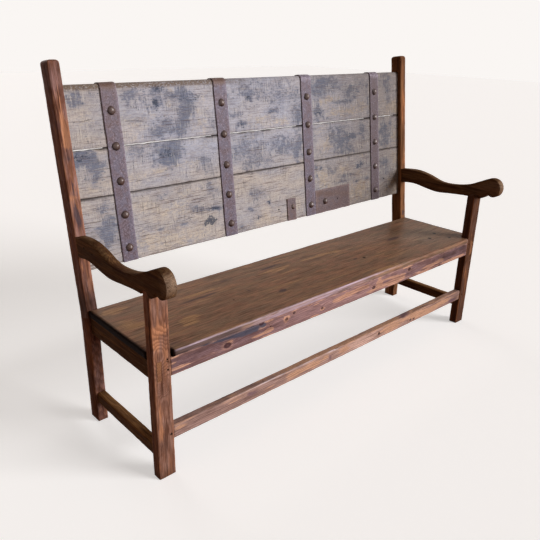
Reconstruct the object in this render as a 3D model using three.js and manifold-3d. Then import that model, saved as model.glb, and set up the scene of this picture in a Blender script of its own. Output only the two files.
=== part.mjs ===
// A long pine settle: raked posts hold a back of reclaimed door planks, bound with iron straps.
// X runs along the bench, Y from the front to the back and Z up. All lengths are millimetres.
import * as THREE from "three";
import { mergeVertices } from "three/addons/utils/BufferGeometryUtils.js";
import Module from "manifold-3d";

const wasm = await Module();
wasm.setup();

// Overall sizes
const benchLength = 1830;
const seatHeight = 457;
const seatDepth = 419;
const postHeight = 1277;
const postBendHeight = 440;
const rakeDegrees = 7.1;

// Front legs, and the two cheeks that hold each arm
const legWidth = 62;
const legDepth = 38;
const cheekRise = 30;
const cheekRound = 15;
const outerCheek = 6;

// Rear posts
const postWidth = 38;
const postDepth = 57;
const postOverhang = 4;
const postTopRound = 11;
const postRebate = 10;

// Arms
const armThickness = 34;
const armScrollReach = 103;
const armLowest = 641;
const armRise = 117;
const armTenonThickness = 12;
const armTenonHeight = 34;
const armTenonLength = 20;

// Seat board
const seatThickness = 22;
const seatFrontRound = 8;
const seatGapLeft = 9;
const seatGapRight = 1;
const seatGapBehindLeg = 1;

// Rails under the seat
const apronHeight = 64;
const apronThickness = 32;
const frontApronInset = 0.5;
const sideApronHeight = 70;
const sideApronInset = 5;
const rearApronInset = 2;
const bearerWidth = 40;
const bearerHeight = 44;
const bearerTenonLength = 10;
const bearerPlaceShare = 1 / 3;

// Stretchers near the floor
const frontStretcherHeight = 49;
const frontStretcherThickness = 30;
const frontStretcherFloorGap = 133;
const frontStretcherInset = 4;
const sideStretcherHeight = 43;
const sideStretcherThickness = 31;
const sideStretcherFloorGap = 81;
const sideStretcherInset = 2;

// Tenons, and the sunk nails that hold the front ones
const tenonThickness = 12;
const tenonShoulder = 4;
const sideTenonInset = 12;
const sideTenonThickness = 15;
const frontApronTenonLength = 30;
const rearTenonLength = 18;
const rearApronTenonLength = 22;
const rearApronTenonOffset = 20;
const stretcherTenonLength = 24;
const apronNailRadius = 2.8;
const stretcherNailRadius = 3.8;
const nailShankRadius = 1.8;
const nailSink = 3;
const nailHeadThickness = 2;
const nailLength = 29;
const nailFromLegEdge = 12;
const upperNailDrop = 8;
const lowerNailDrop = 37;

// Back planks, measured along the raked posts
const plankThickness = 36;
const plankSetBack = 18;
const panelBottom = 151;
const lowerPlankHeight = 246.5;
const middlePlankHeight = 163;
const upperPlankHeight = 207.5;
const lowerPlankGap = 1.2;
const upperPlankGap = 3.6;
const plankTopRound = 16;
const plankTopBackRound = 8;

// Ironwork
const strapWidth = 61;
const strapThickness = 4;
const strapCount = 4;
const firstStrapFromLeft = 196;
const lastStrapFromRight = 228.5;
const clavoCount = 5;
const clavoPitch = 119.5;
const lowestClavo = 50;
const clavoRadius = 15;
const clavoHeight = 11;
const shankRadius = 3;
const peenRadius = 6.5;
const peenHeight = 2.5;
const latchPlateWidth = 236;
const latchPlateHeight = 109;
const latchPlateGap = 2.5;
const latchPlateThickness = 3;
const latchClavoFromEdge = 62;
const latchClavoFromBottom = 51;
const latchHoleFromEdge = 148;
const latchHoleFromBottom = 50;
const latchHoleRadius = 4;
const latchClavoRadius = 14;
const latchClavoHeight = 8;
const smallStrapWidth = 50;
const smallStrapHeight = 99;
const smallStrapGap = 67.5;
const smallStrapClavoFromEdge = 34;
const smallStrapClavoFromBottom = 60;
const smallStrapClavoRadius = 12;
const smallStrapClavoHeight = 6;

// Clearance between mating pieces, the easing of arrises, and the overrun of cuts
const fit = 0.3;
const arrisEase = 2.5;
const smallEase = 1.2;
const overrun = 5;

// Edges of the arm from the post to the scroll and back, as shares of its length and rise
const armTopShares = [
  [0.865, 0.726],
  [0.729, 0.641],
  [0.576, 0.436],
  [0.427, 0.453],
  [0.305, 0.581],
  [0.199, 0.803],
  [0.101, 1],
  [0.032, 0.931],
  [0, 0.658],
  [0.018, 0.376],
  [0.065, 0.282],
  [0.11, 0.359],
];
const armBumpShares = [
  [0.11, 0.359],
  [0.129, 0.231],
  [0.158, 0.154],
  [0.19, 0.128],
];
const armBottomShares = [
  [0.19, 0.128],
  [0.318, 0.12],
  [0.46, 0.06],
  [0.598, 0],
  [0.711, 0.051],
  [0.822, 0.137],
  [0.908, 0.145],
];
const armRearTopShare = 0.667;
const armRearBottomShare = 0.077;
const armTenonShare = 0.36;

// Curves: how many straight steps each is cut into
const roundSteps = 5;
const armTopSteps = 44;
const armBumpSteps = 5;
const armBottomSteps = 20;
const shankSides = 12;
const clavoSides = 16;
const domeSteps = 4;

// Values that follow from the sizes above
const rake = THREE.MathUtils.degToRad(rakeDegrees);
const halfLength = benchLength / 2;
const apronTop = seatHeight - seatThickness;
const apronBottom = apronTop - apronHeight;
const sideApronBottom = apronTop - sideApronHeight;
const cheekHeight = armLowest + cheekRise;
const armLength = seatDepth + (armLowest - postBendHeight) * Math.tan(rake) + armScrollReach;
const panelTop = panelBottom + lowerPlankHeight + middlePlankHeight + upperPlankHeight;
const rakedPostLength = (postHeight - postBendHeight) / Math.cos(rake);
const plankFront = plankSetBack;
const plankBack = plankSetBack + plankThickness;
const sides = [
  ["left", -1],
  ["right", 1],
];

const pine = new THREE.MeshStandardMaterial({ color: 0x6b4a34, roughness: 0.55, metalness: 0 });
const seatPine = new THREE.MeshStandardMaterial({ color: 0x5f4634, roughness: 0.5, metalness: 0 });
const plankWood = new THREE.MeshStandardMaterial({ color: 0x9a918a, roughness: 0.8, metalness: 0 });
const iron = new THREE.MeshStandardMaterial({ color: 0x6f6468, roughness: 0.55, metalness: 0.6 });

// Solid from a closed geometry
function solidOf(geometry) {
  const bare = geometry.clone();
  bare.deleteAttribute("normal");
  bare.deleteAttribute("uv");
  const merged = mergeVertices(bare);
  return new wasm.Manifold(
    new wasm.Mesh({
      numProp: 3,
      vertProperties: new Float32Array(merged.attributes.position.array),
      triVerts: new Uint32Array(merged.index.array),
    }),
  );
}

// Geometry from a solid, with flat faces
function geometryOf(solid) {
  const mesh = solid.getMesh();
  const geometry = new THREE.BufferGeometry();
  geometry.setAttribute("position", new THREE.BufferAttribute(mesh.vertProperties, 3));
  geometry.setIndex(new THREE.BufferAttribute(mesh.triVerts, 1));
  geometry.computeVertexNormals();
  return geometry;
}

// A span of X given inboard from the outer face of the leg at one end
function fromEnd(side, outer, inner) {
  const ends = [side * (halfLength - outer), side * (halfLength - inner)];
  return [Math.min(...ends), Math.max(...ends)];
}

// Rectangular block over three spans, grown by a clearance on every face
function block(spans, grow = 0) {
  const size = spans.map(([low, high]) => high - low + 2 * grow);
  const middle = spans.map(([low, high]) => (low + high) / 2);
  const geometry = new THREE.BoxGeometry(...size);
  geometry.translate(...middle);
  return solidOf(geometry);
}

// Outline extruded along one axis: 0 is X with an outline in Y and Z, and so on in turn
function extruded(outline, axis, [low, high]) {
  const geometry = new THREE.ExtrudeGeometry(new THREE.Shape(outline), {
    depth: high - low,
    bevelEnabled: false,
  });
  const unit = [0, 1, 2].map((i) => new THREE.Vector3().setComponent(i, 1));
  const turned = new THREE.Matrix4().makeBasis(unit[(axis + 1) % 3], unit[(axis + 2) % 3], unit[axis]);
  geometry.applyMatrix4(turned.setPosition(unit[axis].clone().multiplyScalar(low)));
  return solidOf(geometry);
}

// Bar over three spans with its four long arrises eased
function bar(spans, axis, ease = arrisEase) {
  const [a0, a1] = spans[(axis + 1) % 3];
  const [b0, b1] = spans[(axis + 2) % 3];
  const corners = [
    [a0 + ease, b0],
    [a1 - ease, b0],
    [a1, b0 + ease],
    [a1, b1 - ease],
    [a1 - ease, b1],
    [a0 + ease, b1],
    [a0, b1 - ease],
    [a0, b0 + ease],
  ];
  return extruded(
    corners.map(([a, b]) => new THREE.Vector2(a, b)),
    axis,
    spans[axis],
  );
}

// Arc of a rounded corner, from one heading to the next
function arc(centreA, centreB, radius, start, end) {
  const points = [];
  for (let i = 0; i <= roundSteps; i++) {
    const angle = start + ((end - start) * i) / roundSteps;
    points.push(new THREE.Vector2(centreA + radius * Math.cos(angle), centreB + radius * Math.sin(angle)));
  }
  return points;
}

// Upright outline with a rounded top, between two sides
function roundTopped(low, high, bottom, top, round) {
  return [
    new THREE.Vector2(low, bottom),
    new THREE.Vector2(high, bottom),
    ...arc(high - round, top - round, round, 0, Math.PI / 2),
    ...arc(low + round, top - round, round, Math.PI / 2, Math.PI),
  ];
}

// Round pin along Y, from its front end
function pin(x, z, radius, [front, rear]) {
  const geometry = new THREE.CylinderGeometry(radius, radius, rear - front, shankSides);
  geometry.translate(x, (front + rear) / 2, z);
  return solidOf(geometry);
}

// Front face of a post at a height above its bend
function postFrontAt(z) {
  return seatDepth + Math.max(0, z - postBendHeight) * Math.tan(rake);
}

// Tenons: each is a block that its rail carries and its leg or post receives
const tenonAcross = (side) => fromEnd(side, sideTenonInset, sideTenonInset + sideTenonThickness);
const apronTenonHeights = [apronBottom + tenonShoulder, apronTop - tenonShoulder];
const sideApronTenonHeights = [sideApronBottom + tenonShoulder, apronTop];
const frontApronMiddle = frontApronInset + apronThickness / 2;
const frontApronTenon = (side) => [
  fromEnd(side, legWidth - frontApronTenonLength, legWidth + overrun),
  [frontApronMiddle - tenonThickness / 2, frontApronMiddle + tenonThickness / 2],
  apronTenonHeights,
];
const sideApronFrontTenon = (side) => [tenonAcross(side), [0, legDepth + overrun], sideApronTenonHeights];
const sideApronRearTenon = (side) => [
  tenonAcross(side),
  [seatDepth - overrun, seatDepth + rearTenonLength],
  sideApronTenonHeights,
];
const rearApronTenon = (side) => [
  fromEnd(side, postWidth - postOverhang - rearApronTenonLength, postWidth - postOverhang + overrun),
  [seatDepth + rearApronTenonOffset, seatDepth + rearApronTenonOffset + tenonThickness],
  apronTenonHeights,
];
const frontStretcherMiddle = frontStretcherInset + frontStretcherThickness / 2;
const frontStretcherHeights = [
  frontStretcherFloorGap + tenonShoulder,
  frontStretcherFloorGap + frontStretcherHeight - tenonShoulder,
];
const frontStretcherTenon = (side) => [
  fromEnd(side, legWidth - stretcherTenonLength, legWidth + overrun),
  [frontStretcherMiddle - tenonThickness / 2, frontStretcherMiddle + tenonThickness / 2],
  frontStretcherHeights,
];
const sideStretcherHeights = [
  sideStretcherFloorGap + tenonShoulder,
  sideStretcherFloorGap + sideStretcherHeight - tenonShoulder,
];
const sideStretcherFrontTenon = (side) => [
  tenonAcross(side),
  [legDepth - stretcherTenonLength, legDepth + overrun],
  sideStretcherHeights,
];
const sideStretcherRearTenon = (side) => [
  tenonAcross(side),
  [seatDepth - overrun, seatDepth + stretcherTenonLength],
  sideStretcherHeights,
];
const armTenonAcross = (armThickness - armTenonThickness) / 2 - postOverhang;
const armTenonMiddle = armLowest + armRise * armTenonShare;
const armTenon = (side) => [
  fromEnd(side, armTenonAcross, armTenonAcross + armTenonThickness),
  [postFrontAt(armTenonMiddle) - armTenonLength, postFrontAt(armTenonMiddle) + armTenonLength],
  [armTenonMiddle - armTenonHeight / 2, armTenonMiddle + armTenonHeight / 2],
];

// Nails: two hold each front apron tenon and one each front stretcher tenon
const nailPlaces = [
  ["apron_nail_upper", apronNailRadius, apronTop - upperNailDrop],
  ["apron_nail_lower", apronNailRadius, apronTop - lowerNailDrop],
  ["stretcher_nail", stretcherNailRadius, frontStretcherFloorGap + frontStretcherHeight / 2],
];

function nailX(side) {
  return side * (halfLength - legWidth + nailFromLegEdge);
}

function nailSolid(side, radius, height) {
  const head = pin(nailX(side), height, radius, [nailSink, nailSink + nailHeadThickness]);
  return head.add(pin(nailX(side), height, nailShankRadius, [nailSink, nailSink + nailLength]));
}

// Cuts that the nails need, in a leg or in a rail
function withNailHoles(solid, side) {
  return nailPlaces.reduce((left, [, radius, height]) => {
    const mouth = pin(nailX(side), height, radius + fit, [-overrun, nailSink + nailHeadThickness + fit]);
    const hole = pin(nailX(side), height, nailShankRadius + fit, [0, nailSink + nailLength + fit]);
    return left.subtract(mouth).subtract(hole);
  }, solid);
}

// Outline of an arm in Y and Z
function armOutline() {
  const place = ([along, up]) =>
    new THREE.Vector2(along * armLength - armScrollReach, armLowest + up * armRise);
  const rear = (share) => {
    const z = armLowest + share * armRise;
    return new THREE.Vector2(postFrontAt(z) - fit / Math.cos(rake), z);
  };
  const curve = (points, steps) => new THREE.SplineCurve(points).getPoints(steps);
  return [
    ...curve([rear(armRearTopShare), ...armTopShares.map(place)], armTopSteps),
    ...curve(armBumpShares.map(place), armBumpSteps).slice(1),
    ...curve([...armBottomShares.map(place), rear(armRearBottomShare)], armBottomSteps).slice(1),
  ];
}

// Side outline of a leg's top, which the arm is cut to clear
function cheekOutline(grow) {
  return roundTopped(-grow, legDepth + grow, 0, cheekHeight + grow, cheekRound + grow);
}

function armSolid(side) {
  const across = fromEnd(side, -postOverhang, armThickness - postOverhang);
  const besideCheek = fromEnd(side, -postOverhang - overrun, outerCheek + fit);
  return extruded(armOutline(), 0, across)
    .subtract(extruded(cheekOutline(fit), 0, besideCheek))
    .add(block(armTenon(side)));
}

function frontLegSolid(side) {
  const across = fromEnd(side, 0, legWidth);
  const slot = extruded(armOutline(), 0, fromEnd(side, outerCheek, armThickness - postOverhang + fit));
  const blank = bar([across, [0, legDepth], [0, cheekHeight]], 2).intersect(
    extruded(cheekOutline(0), 0, across),
  );
  const joined = [
    frontApronTenon(side),
    sideApronFrontTenon(side),
    frontStretcherTenon(side),
    sideStretcherFrontTenon(side),
  ].reduce((leg, tenon) => leg.subtract(block(tenon, fit)), blank);
  return withNailHoles(joined, side).subtract(slot).subtract(slot.translate([0, 0, -fit]));
}

// Frame of the back: its Y runs square through the planks and its Z up the raked posts
const back = new THREE.Group();
back.position.set(0, seatDepth, postBendHeight);
back.rotation.x = -rake;
back.updateMatrixWorld();

function inBench(solid) {
  const geometry = geometryOf(solid);
  geometry.applyMatrix4(back.matrixWorld);
  return solidOf(geometry);
}

function rearPostSolid(side) {
  const across = fromEnd(side, -postOverhang, postWidth - postOverhang);
  const lower = block([across, [0, postDepth], [-postBendHeight, 0]]).translate([
    0,
    seatDepth,
    postBendHeight,
  ]);
  const sideView = extruded(roundTopped(0, postDepth, 0, rakedPostLength, postTopRound), 0, across);
  const frontView = roundTopped(...across, 0, rakedPostLength, postTopRound).map(
    (point) => new THREE.Vector2(point.y, point.x),
  );
  const upper = inBench(sideView.intersect(extruded(frontView.reverse(), 1, [0, postDepth])));
  const bend = postBendWedge(across);
  const rebate = block([
    fromEnd(side, postWidth - postOverhang - postRebate, postWidth - postOverhang + overrun),
    [plankFront - fit, postDepth + overrun],
    [panelBottom - fit, panelTop + fit],
  ]);
  const post = lower.add(upper).add(bend).subtract(inBench(rebate));
  return [
    sideApronRearTenon(side),
    rearApronTenon(side),
    sideStretcherRearTenon(side),
    armTenon(side),
  ].reduce((left, tenon) => left.subtract(block(tenon, fit)), post);
}

// Wood that fills the back of the bend, between the upright and the raked lengths
function postBendWedge(across) {
  const outline = [
    new THREE.Vector2(seatDepth, postBendHeight),
    new THREE.Vector2(seatDepth + postDepth * Math.cos(rake), postBendHeight - postDepth * Math.sin(rake)),
    new THREE.Vector2(seatDepth + postDepth, postBendHeight - postDepth * Math.sin(rake)),
    new THREE.Vector2(seatDepth + postDepth, postBendHeight + postDepth * Math.tan(rake / 2)),
  ];
  return extruded(outline, 0, across);
}

function seatBoardSolid() {
  const spans = [[-halfLength, halfLength], [0, seatDepth - fit], [apronTop, seatHeight]];
  const [front, rear] = spans[1];
  const outline = [
    new THREE.Vector2(front + smallEase, apronTop),
    new THREE.Vector2(rear, apronTop),
    new THREE.Vector2(rear, seatHeight - smallEase),
    new THREE.Vector2(rear - smallEase, seatHeight),
    ...arc(front + seatFrontRound, seatHeight - seatFrontRound, seatFrontRound, Math.PI / 2, Math.PI),
    new THREE.Vector2(front, apronTop + smallEase),
  ];
  const notch = (side, gap) =>
    block([
      fromEnd(side, -overrun, legWidth + gap),
      [-overrun, legDepth + seatGapBehindLeg],
      [apronTop - overrun, seatHeight + overrun],
    ]);
  return extruded(outline, 0, spans[0])
    .subtract(notch(-1, seatGapLeft))
    .subtract(notch(1, seatGapRight))
    .translate([0, 0, fit]);
}

// Rails that run along the bench
function frontApronSolid() {
  const reach = halfLength - legWidth - fit;
  const rail = bar(
    [[-reach, reach], [frontApronInset, frontApronInset + apronThickness], [apronBottom, apronTop]],
    0,
  );
  const tenoned = sides.reduce(
    (left, [, side]) => withNailHoles(left.add(block(frontApronTenon(side))), side),
    rail,
  );
  return bearerPlaces.reduce((left, x) => left.subtract(block(bearerTenons(x)[0], fit)), tenoned);
}

function rearApronSolid() {
  const reach = halfLength - postWidth + postOverhang - fit;
  const front = seatDepth + rearApronInset;
  const rail = bar([[-reach, reach], [front, front + apronThickness], [apronBottom, apronTop]], 0);
  const tenoned = sides.reduce((left, [, side]) => left.add(block(rearApronTenon(side))), rail);
  return bearerPlaces.reduce((left, x) => left.subtract(block(bearerTenons(x)[1], fit)), tenoned);
}

function frontStretcherSolid() {
  const reach = halfLength - legWidth - fit;
  const rail = bar(
    [
      [-reach, reach],
      [frontStretcherInset, frontStretcherInset + frontStretcherThickness],
      [frontStretcherFloorGap, frontStretcherFloorGap + frontStretcherHeight],
    ],
    0,
  );
  return sides.reduce(
    (left, [, side]) => withNailHoles(left.add(block(frontStretcherTenon(side))), side),
    rail,
  );
}

// Rails that run from a front leg to a rear post
function sideApronSolid(side) {
  return bar(
    [
      fromEnd(side, sideApronInset, sideApronInset + apronThickness - frontApronInset),
      [legDepth + fit, seatDepth - fit],
      [sideApronBottom, apronTop],
    ],
    1,
  )
    .add(block(sideApronFrontTenon(side)))
    .add(block(sideApronRearTenon(side)));
}

function sideStretcherSolid(side) {
  return bar(
    [
      fromEnd(side, sideStretcherInset, sideStretcherInset + sideStretcherThickness),
      [legDepth + fit, seatDepth - fit],
      [sideStretcherFloorGap, sideStretcherFloorGap + sideStretcherHeight],
    ],
    1,
  )
    .add(block(sideStretcherFrontTenon(side)))
    .add(block(sideStretcherRearTenon(side)));
}

// Bearers under the seat, let into the front and rear aprons
const bearerPlaces = sides.map(([, side]) => side * halfLength * bearerPlaceShare);
const bearerFront = frontApronInset + apronThickness;
const bearerRear = seatDepth + rearApronInset;

function bearerTenons(x) {
  const across = [x - bearerWidth / 2 + tenonShoulder, x + bearerWidth / 2 - tenonShoulder];
  const heights = [apronTop - bearerHeight + tenonShoulder, apronTop - 2 * tenonShoulder];
  return [
    [across, [bearerFront - bearerTenonLength, bearerFront + overrun], heights],
    [across, [bearerRear - overrun, bearerRear + bearerTenonLength], heights],
  ];
}

function bearerSolid(x) {
  const spans = [
    [x - bearerWidth / 2, x + bearerWidth / 2],
    [bearerFront + fit, bearerRear - fit],
    [apronTop - bearerHeight, apronTop],
  ];
  return bearerTenons(x).reduce((left, tenon) => left.add(block(tenon)), bar(spans, 1));
}

// Path up the front of the planks, over their rounded top and down the back
function overTop(grow) {
  return [
    new THREE.Vector2(plankBack + grow, panelBottom),
    ...arc(
      plankBack - plankTopBackRound,
      panelTop - plankTopBackRound,
      plankTopBackRound + grow,
      0,
      Math.PI / 2,
    ),
    ...arc(plankFront + plankTopRound, panelTop - plankTopRound, plankTopRound + grow, Math.PI / 2, Math.PI),
    new THREE.Vector2(plankFront - grow, panelBottom),
  ];
}

// Places of the straps along the bench and of the clavos up each strap
const strapPitch = (benchLength - firstStrapFromLeft - lastStrapFromRight) / (strapCount - 1);
const strapPlaces = Array.from(
  { length: strapCount },
  (_, i) => firstStrapFromLeft + i * strapPitch - halfLength,
);
const clavoHeights = Array.from({ length: clavoCount }, (_, i) => panelBottom + lowestClavo + i * clavoPitch);
const clavoPlaces = strapPlaces.flatMap((x) => clavoHeights.map((z) => [x, z]));
const latchPlateLeft = strapPlaces[2] + strapWidth / 2 + latchPlateGap;
const smallStrapLeft = strapPlaces[2] - strapWidth / 2 - smallStrapGap - smallStrapWidth;
const latchClavo = [latchPlateLeft + latchClavoFromEdge, panelBottom + latchClavoFromBottom];
const smallStrapClavo = [
  smallStrapLeft + smallStrapClavoFromEdge,
  panelBottom + smallStrapClavoFromBottom,
];

// Hole for the shank of a clavo, right through the back
function shankHole([x, z]) {
  return pin(x, z, shankRadius + fit, [plankFront - overrun - strapThickness, plankBack + overrun + strapThickness]);
}

function withShankHoles(solid, places) {
  return places.reduce((left, place) => left.subtract(shankHole(place)), solid);
}

function plankSolid(outline) {
  const reach = halfLength - postWidth + postOverhang + postRebate - fit;
  return withShankHoles(extruded(outline, 0, [-reach, reach]), [...clavoPlaces, latchClavo, smallStrapClavo]);
}

function squarePlankSolid(bottom, height) {
  const spans = [[0, 0], [plankFront, plankBack], [bottom, bottom + height]];
  const [front, rear] = spans[1];
  return plankSolid(
    [
      [front + smallEase, bottom],
      [rear - smallEase, bottom],
      [rear, bottom + smallEase],
      [rear, bottom + height - smallEase],
      [rear - smallEase, bottom + height],
      [front + smallEase, bottom + height],
      [front, bottom + height - smallEase],
      [front, bottom + smallEase],
    ].map(([y, z]) => new THREE.Vector2(y, z)),
  );
}

function upperPlankSolid(bottom) {
  return plankSolid([
    ...overTop(0).slice(1, -1),
    new THREE.Vector2(plankFront, bottom + smallEase),
    new THREE.Vector2(plankFront + smallEase, bottom),
    new THREE.Vector2(plankBack - smallEase, bottom),
    new THREE.Vector2(plankBack, bottom + smallEase),
  ]);
}

function strapSolid(x) {
  const outline = [...overTop(fit + strapThickness), ...overTop(fit).reverse()];
  const wrap = extruded(outline, 0, [x - strapWidth / 2, x + strapWidth / 2]);
  return withShankHoles(wrap, clavoHeights.map((z) => [x, z]));
}

function plateSolid(left, width, height, thickness, places) {
  const spans = [
    [left, left + width],
    [plankFront - fit - thickness, plankFront - fit],
    [panelBottom, panelBottom + height],
  ];
  return withShankHoles(block(spans), places);
}

function latchPlateSolid() {
  const hole = pin(
    latchPlateLeft + latchHoleFromEdge,
    panelBottom + latchHoleFromBottom,
    latchHoleRadius,
    [plankFront - overrun - strapThickness, plankFront],
  );
  return plateSolid(
    latchPlateLeft,
    latchPlateWidth,
    latchPlateHeight,
    latchPlateThickness,
    [latchClavo],
  ).subtract(hole);
}

// Domed rivet: its head bears on the iron in front and its peened end on what lies behind
function clavoSolid(x, z, radius, height, front, rear) {
  const dome = (radius * radius + height * height) / (2 * height);
  const sweep = Math.asin(Math.min(1, radius / dome));
  const profile = [];
  for (let i = 0; i <= domeSteps; i++) {
    const angle = (sweep * i) / domeSteps;
    profile.push([dome * Math.sin(angle), front - fit - height + dome * (1 - Math.cos(angle))]);
  }
  profile.push(
    [shankRadius, front - fit],
    [shankRadius, rear + fit],
    [peenRadius, rear + fit],
    [peenRadius / 2, rear + fit + peenHeight],
    [0, rear + fit + peenHeight],
  );
  const points = profile.map(([r, y]) => new THREE.Vector2(Math.max(0, r), y));
  const geometry = new THREE.LatheGeometry(points, clavoSides);
  geometry.translate(x, 0, z);
  return solidOf(geometry);
}

const bench = new THREE.Group();

function place(parent, name, solid, material) {
  const mesh = new THREE.Mesh(geometryOf(solid), material);
  mesh.name = name;
  parent.add(mesh);
}

function addFrame() {
  for (const [end, side] of sides) {
    place(bench, `front_leg_${end}`, frontLegSolid(side), pine);
    place(bench, `rear_post_${end}`, rearPostSolid(side), pine);
    place(bench, `arm_${end}`, armSolid(side), pine);
    place(bench, `side_apron_${end}`, sideApronSolid(side), pine);
    place(bench, `side_stretcher_${end}`, sideStretcherSolid(side), pine);
    for (const [name, radius, height] of nailPlaces) {
      place(bench, `${name}_${end}`, nailSolid(side, radius, height), iron);
    }
  }
  place(bench, "front_apron", frontApronSolid(), pine);
  place(bench, "rear_apron", rearApronSolid(), pine);
  place(bench, "front_stretcher", frontStretcherSolid(), pine);
  bearerPlaces.forEach((x, i) => place(bench, `seat_bearer_${sides[i][0]}`, bearerSolid(x), pine));
  place(bench, "seat_board", seatBoardSolid(), seatPine);
}

function addBack() {
  const middleBottom = panelBottom + lowerPlankHeight;
  const upperBottom = middleBottom + middlePlankHeight;
  place(back, "back_plank_lower", squarePlankSolid(panelBottom, lowerPlankHeight - lowerPlankGap), plankWood);
  place(back, "back_plank_middle", squarePlankSolid(middleBottom, middlePlankHeight - upperPlankGap), plankWood);
  place(back, "back_plank_upper", upperPlankSolid(upperBottom), plankWood);
  strapPlaces.forEach((x, i) => place(back, `iron_strap_${i + 1}`, strapSolid(x), iron));
  place(back, "latch_plate", latchPlateSolid(), iron);
  const smallStrap = plateSolid(
    smallStrapLeft,
    smallStrapWidth,
    smallStrapHeight,
    strapThickness,
    [smallStrapClavo],
  );
  place(back, "small_strap", smallStrap, iron);
}

function addClavos() {
  const strapFront = plankFront - fit - strapThickness;
  const strapRear = plankBack + fit + strapThickness;
  strapPlaces.forEach((x, i) => {
    clavoHeights.forEach((z, j) => {
      const clavo = clavoSolid(x, z, clavoRadius, clavoHeight, strapFront, strapRear);
      place(back, `clavo_${i + 1}_${j + 1}`, clavo, iron);
    });
  });
  const latch = clavoSolid(
    ...latchClavo,
    latchClavoRadius,
    latchClavoHeight,
    plankFront - fit - latchPlateThickness,
    plankBack,
  );
  place(back, "latch_plate_clavo", latch, iron);
  const small = clavoSolid(
    ...smallStrapClavo,
    smallStrapClavoRadius,
    smallStrapClavoHeight,
    strapFront,
    plankBack,
  );
  place(back, "small_strap_clavo", small, iron);
}

addFrame();
addBack();
addClavos();
bench.add(back);

// The origin lies on the floor, under the middle of the bench
const extent = new THREE.Box3().setFromObject(bench);
bench.position.y = -(extent.min.y + extent.max.y) / 2;

export default bench;
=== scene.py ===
import math
from types import SimpleNamespace

import bmesh
import bpy
from mathutils import Matrix, Vector, noise


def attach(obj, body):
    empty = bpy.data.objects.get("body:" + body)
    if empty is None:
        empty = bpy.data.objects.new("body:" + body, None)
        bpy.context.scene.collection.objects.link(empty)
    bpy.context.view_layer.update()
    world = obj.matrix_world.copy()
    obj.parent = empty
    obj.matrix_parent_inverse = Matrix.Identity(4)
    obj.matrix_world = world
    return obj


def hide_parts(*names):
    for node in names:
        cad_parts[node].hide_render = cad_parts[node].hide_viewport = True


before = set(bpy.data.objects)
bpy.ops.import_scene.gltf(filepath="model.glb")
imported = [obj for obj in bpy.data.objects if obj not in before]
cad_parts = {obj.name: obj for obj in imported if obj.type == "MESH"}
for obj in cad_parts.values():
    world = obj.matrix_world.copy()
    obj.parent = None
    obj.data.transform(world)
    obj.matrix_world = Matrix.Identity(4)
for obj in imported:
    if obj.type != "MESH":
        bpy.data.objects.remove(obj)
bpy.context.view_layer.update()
scene = bpy.context.scene

# Vector noise, which stirs the patches and the worked faces, would start from the clock without a seed
NOISE_SEED = 1
noise.seed_set(NOISE_SEED)

# Sizes and places are in millimetres. Pieces are finished in metres.
MM = 1000
X, Y, Z = 0, 1, 2

# Back: its T runs square through the planks and its S up the raked posts
RAKE = math.radians(7.1)
BACK_Y, BACK_Z = 181.27, 440
BACK = Matrix((
    (1, 0, 0, 0),
    (0, math.cos(RAKE), math.sin(RAKE), BACK_Y),
    (0, -math.sin(RAKE), math.cos(RAKE), BACK_Z),
    (0, 0, 0, 1),
))
PLANK_FRONT, PLANK_BACK = 18, 54
PANEL_BOTTOM, PANEL_TOP = 151, 768
PANEL_END = 890.7
LOWER_GAP = (396.3, 397.5)
UPPER_GAP = (556.9, 560.5)
STRAPS = (-719, -250.5, 218, 686.5)
CLAVO_HEIGHTS = (201, 320.5, 440, 559.5, 679)

# Camera of the photo, fitted to the corners of the bench: metres, radians, and millimetres for the film
CAMERA_PLACE = (-1.6929, -1.5974, 1.3595)
CAMERA_HEADING, CAMERA_TILT, CAMERA_ROLL = 0.7409, 0.380, 0.0215
FILM_WIDTH, LENS_LENGTH = 36, 39.22

# Suns as (heading, height, strength, colour, softness). Headings turn from the bench's front to its right.
SUNS = {
    "window": (35, 18, 3.5, (1, 0.98, 0.98), 30),
    "far_window": (174, 8, 1.1, (1, 0.97, 0.94), 30),
}
FILL_COLOUR, FILL_STRENGTH = (1, 0.71, 0.5, 1), 0.16
FLOOR_REACH = 20


# Camera and light

def place_camera():
    lens = bpy.data.cameras.new("camera")
    lens.sensor_width = FILM_WIDTH
    lens.lens = LENS_LENGTH
    camera = bpy.data.objects.new("camera", lens)
    scene.collection.objects.link(camera)
    camera.matrix_world = (
        Matrix.Translation(CAMERA_PLACE)
        @ Matrix.Rotation(-CAMERA_HEADING, 4, "Z")
        @ Matrix.Rotation(math.pi / 2 - CAMERA_TILT, 4, "X")
        @ Matrix.Rotation(CAMERA_ROLL, 4, "Z")
    )
    scene.camera = camera


def add_sun(name, heading, height, strength, colour, softness):
    """Soft far light, its angles in degrees."""
    lamp = bpy.data.lights.new(name, "SUN")
    lamp.energy = strength
    lamp.color = colour
    lamp.angle = math.radians(softness)
    sun = bpy.data.objects.new(name, lamp)
    scene.collection.objects.link(sun)
    turn, rise = math.radians(heading), math.radians(height)
    level = math.cos(rise)
    towards = Vector((math.sin(turn) * level, -math.cos(turn) * level, math.sin(rise)))
    sun.rotation_mode = "QUATERNION"
    sun.rotation_quaternion = towards.to_track_quat("Z", "Y")


# Shader maths

def tone(red, green, blue):
    """Colour as a picture shows it, 0 to 255, as the shader takes it."""
    def linear(level):
        level /= 255
        return level / 12.92 if level <= 0.04045 else ((level + 0.055) / 1.055) ** 2.4
    return (linear(red), linear(green), linear(blue), 1)


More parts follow.
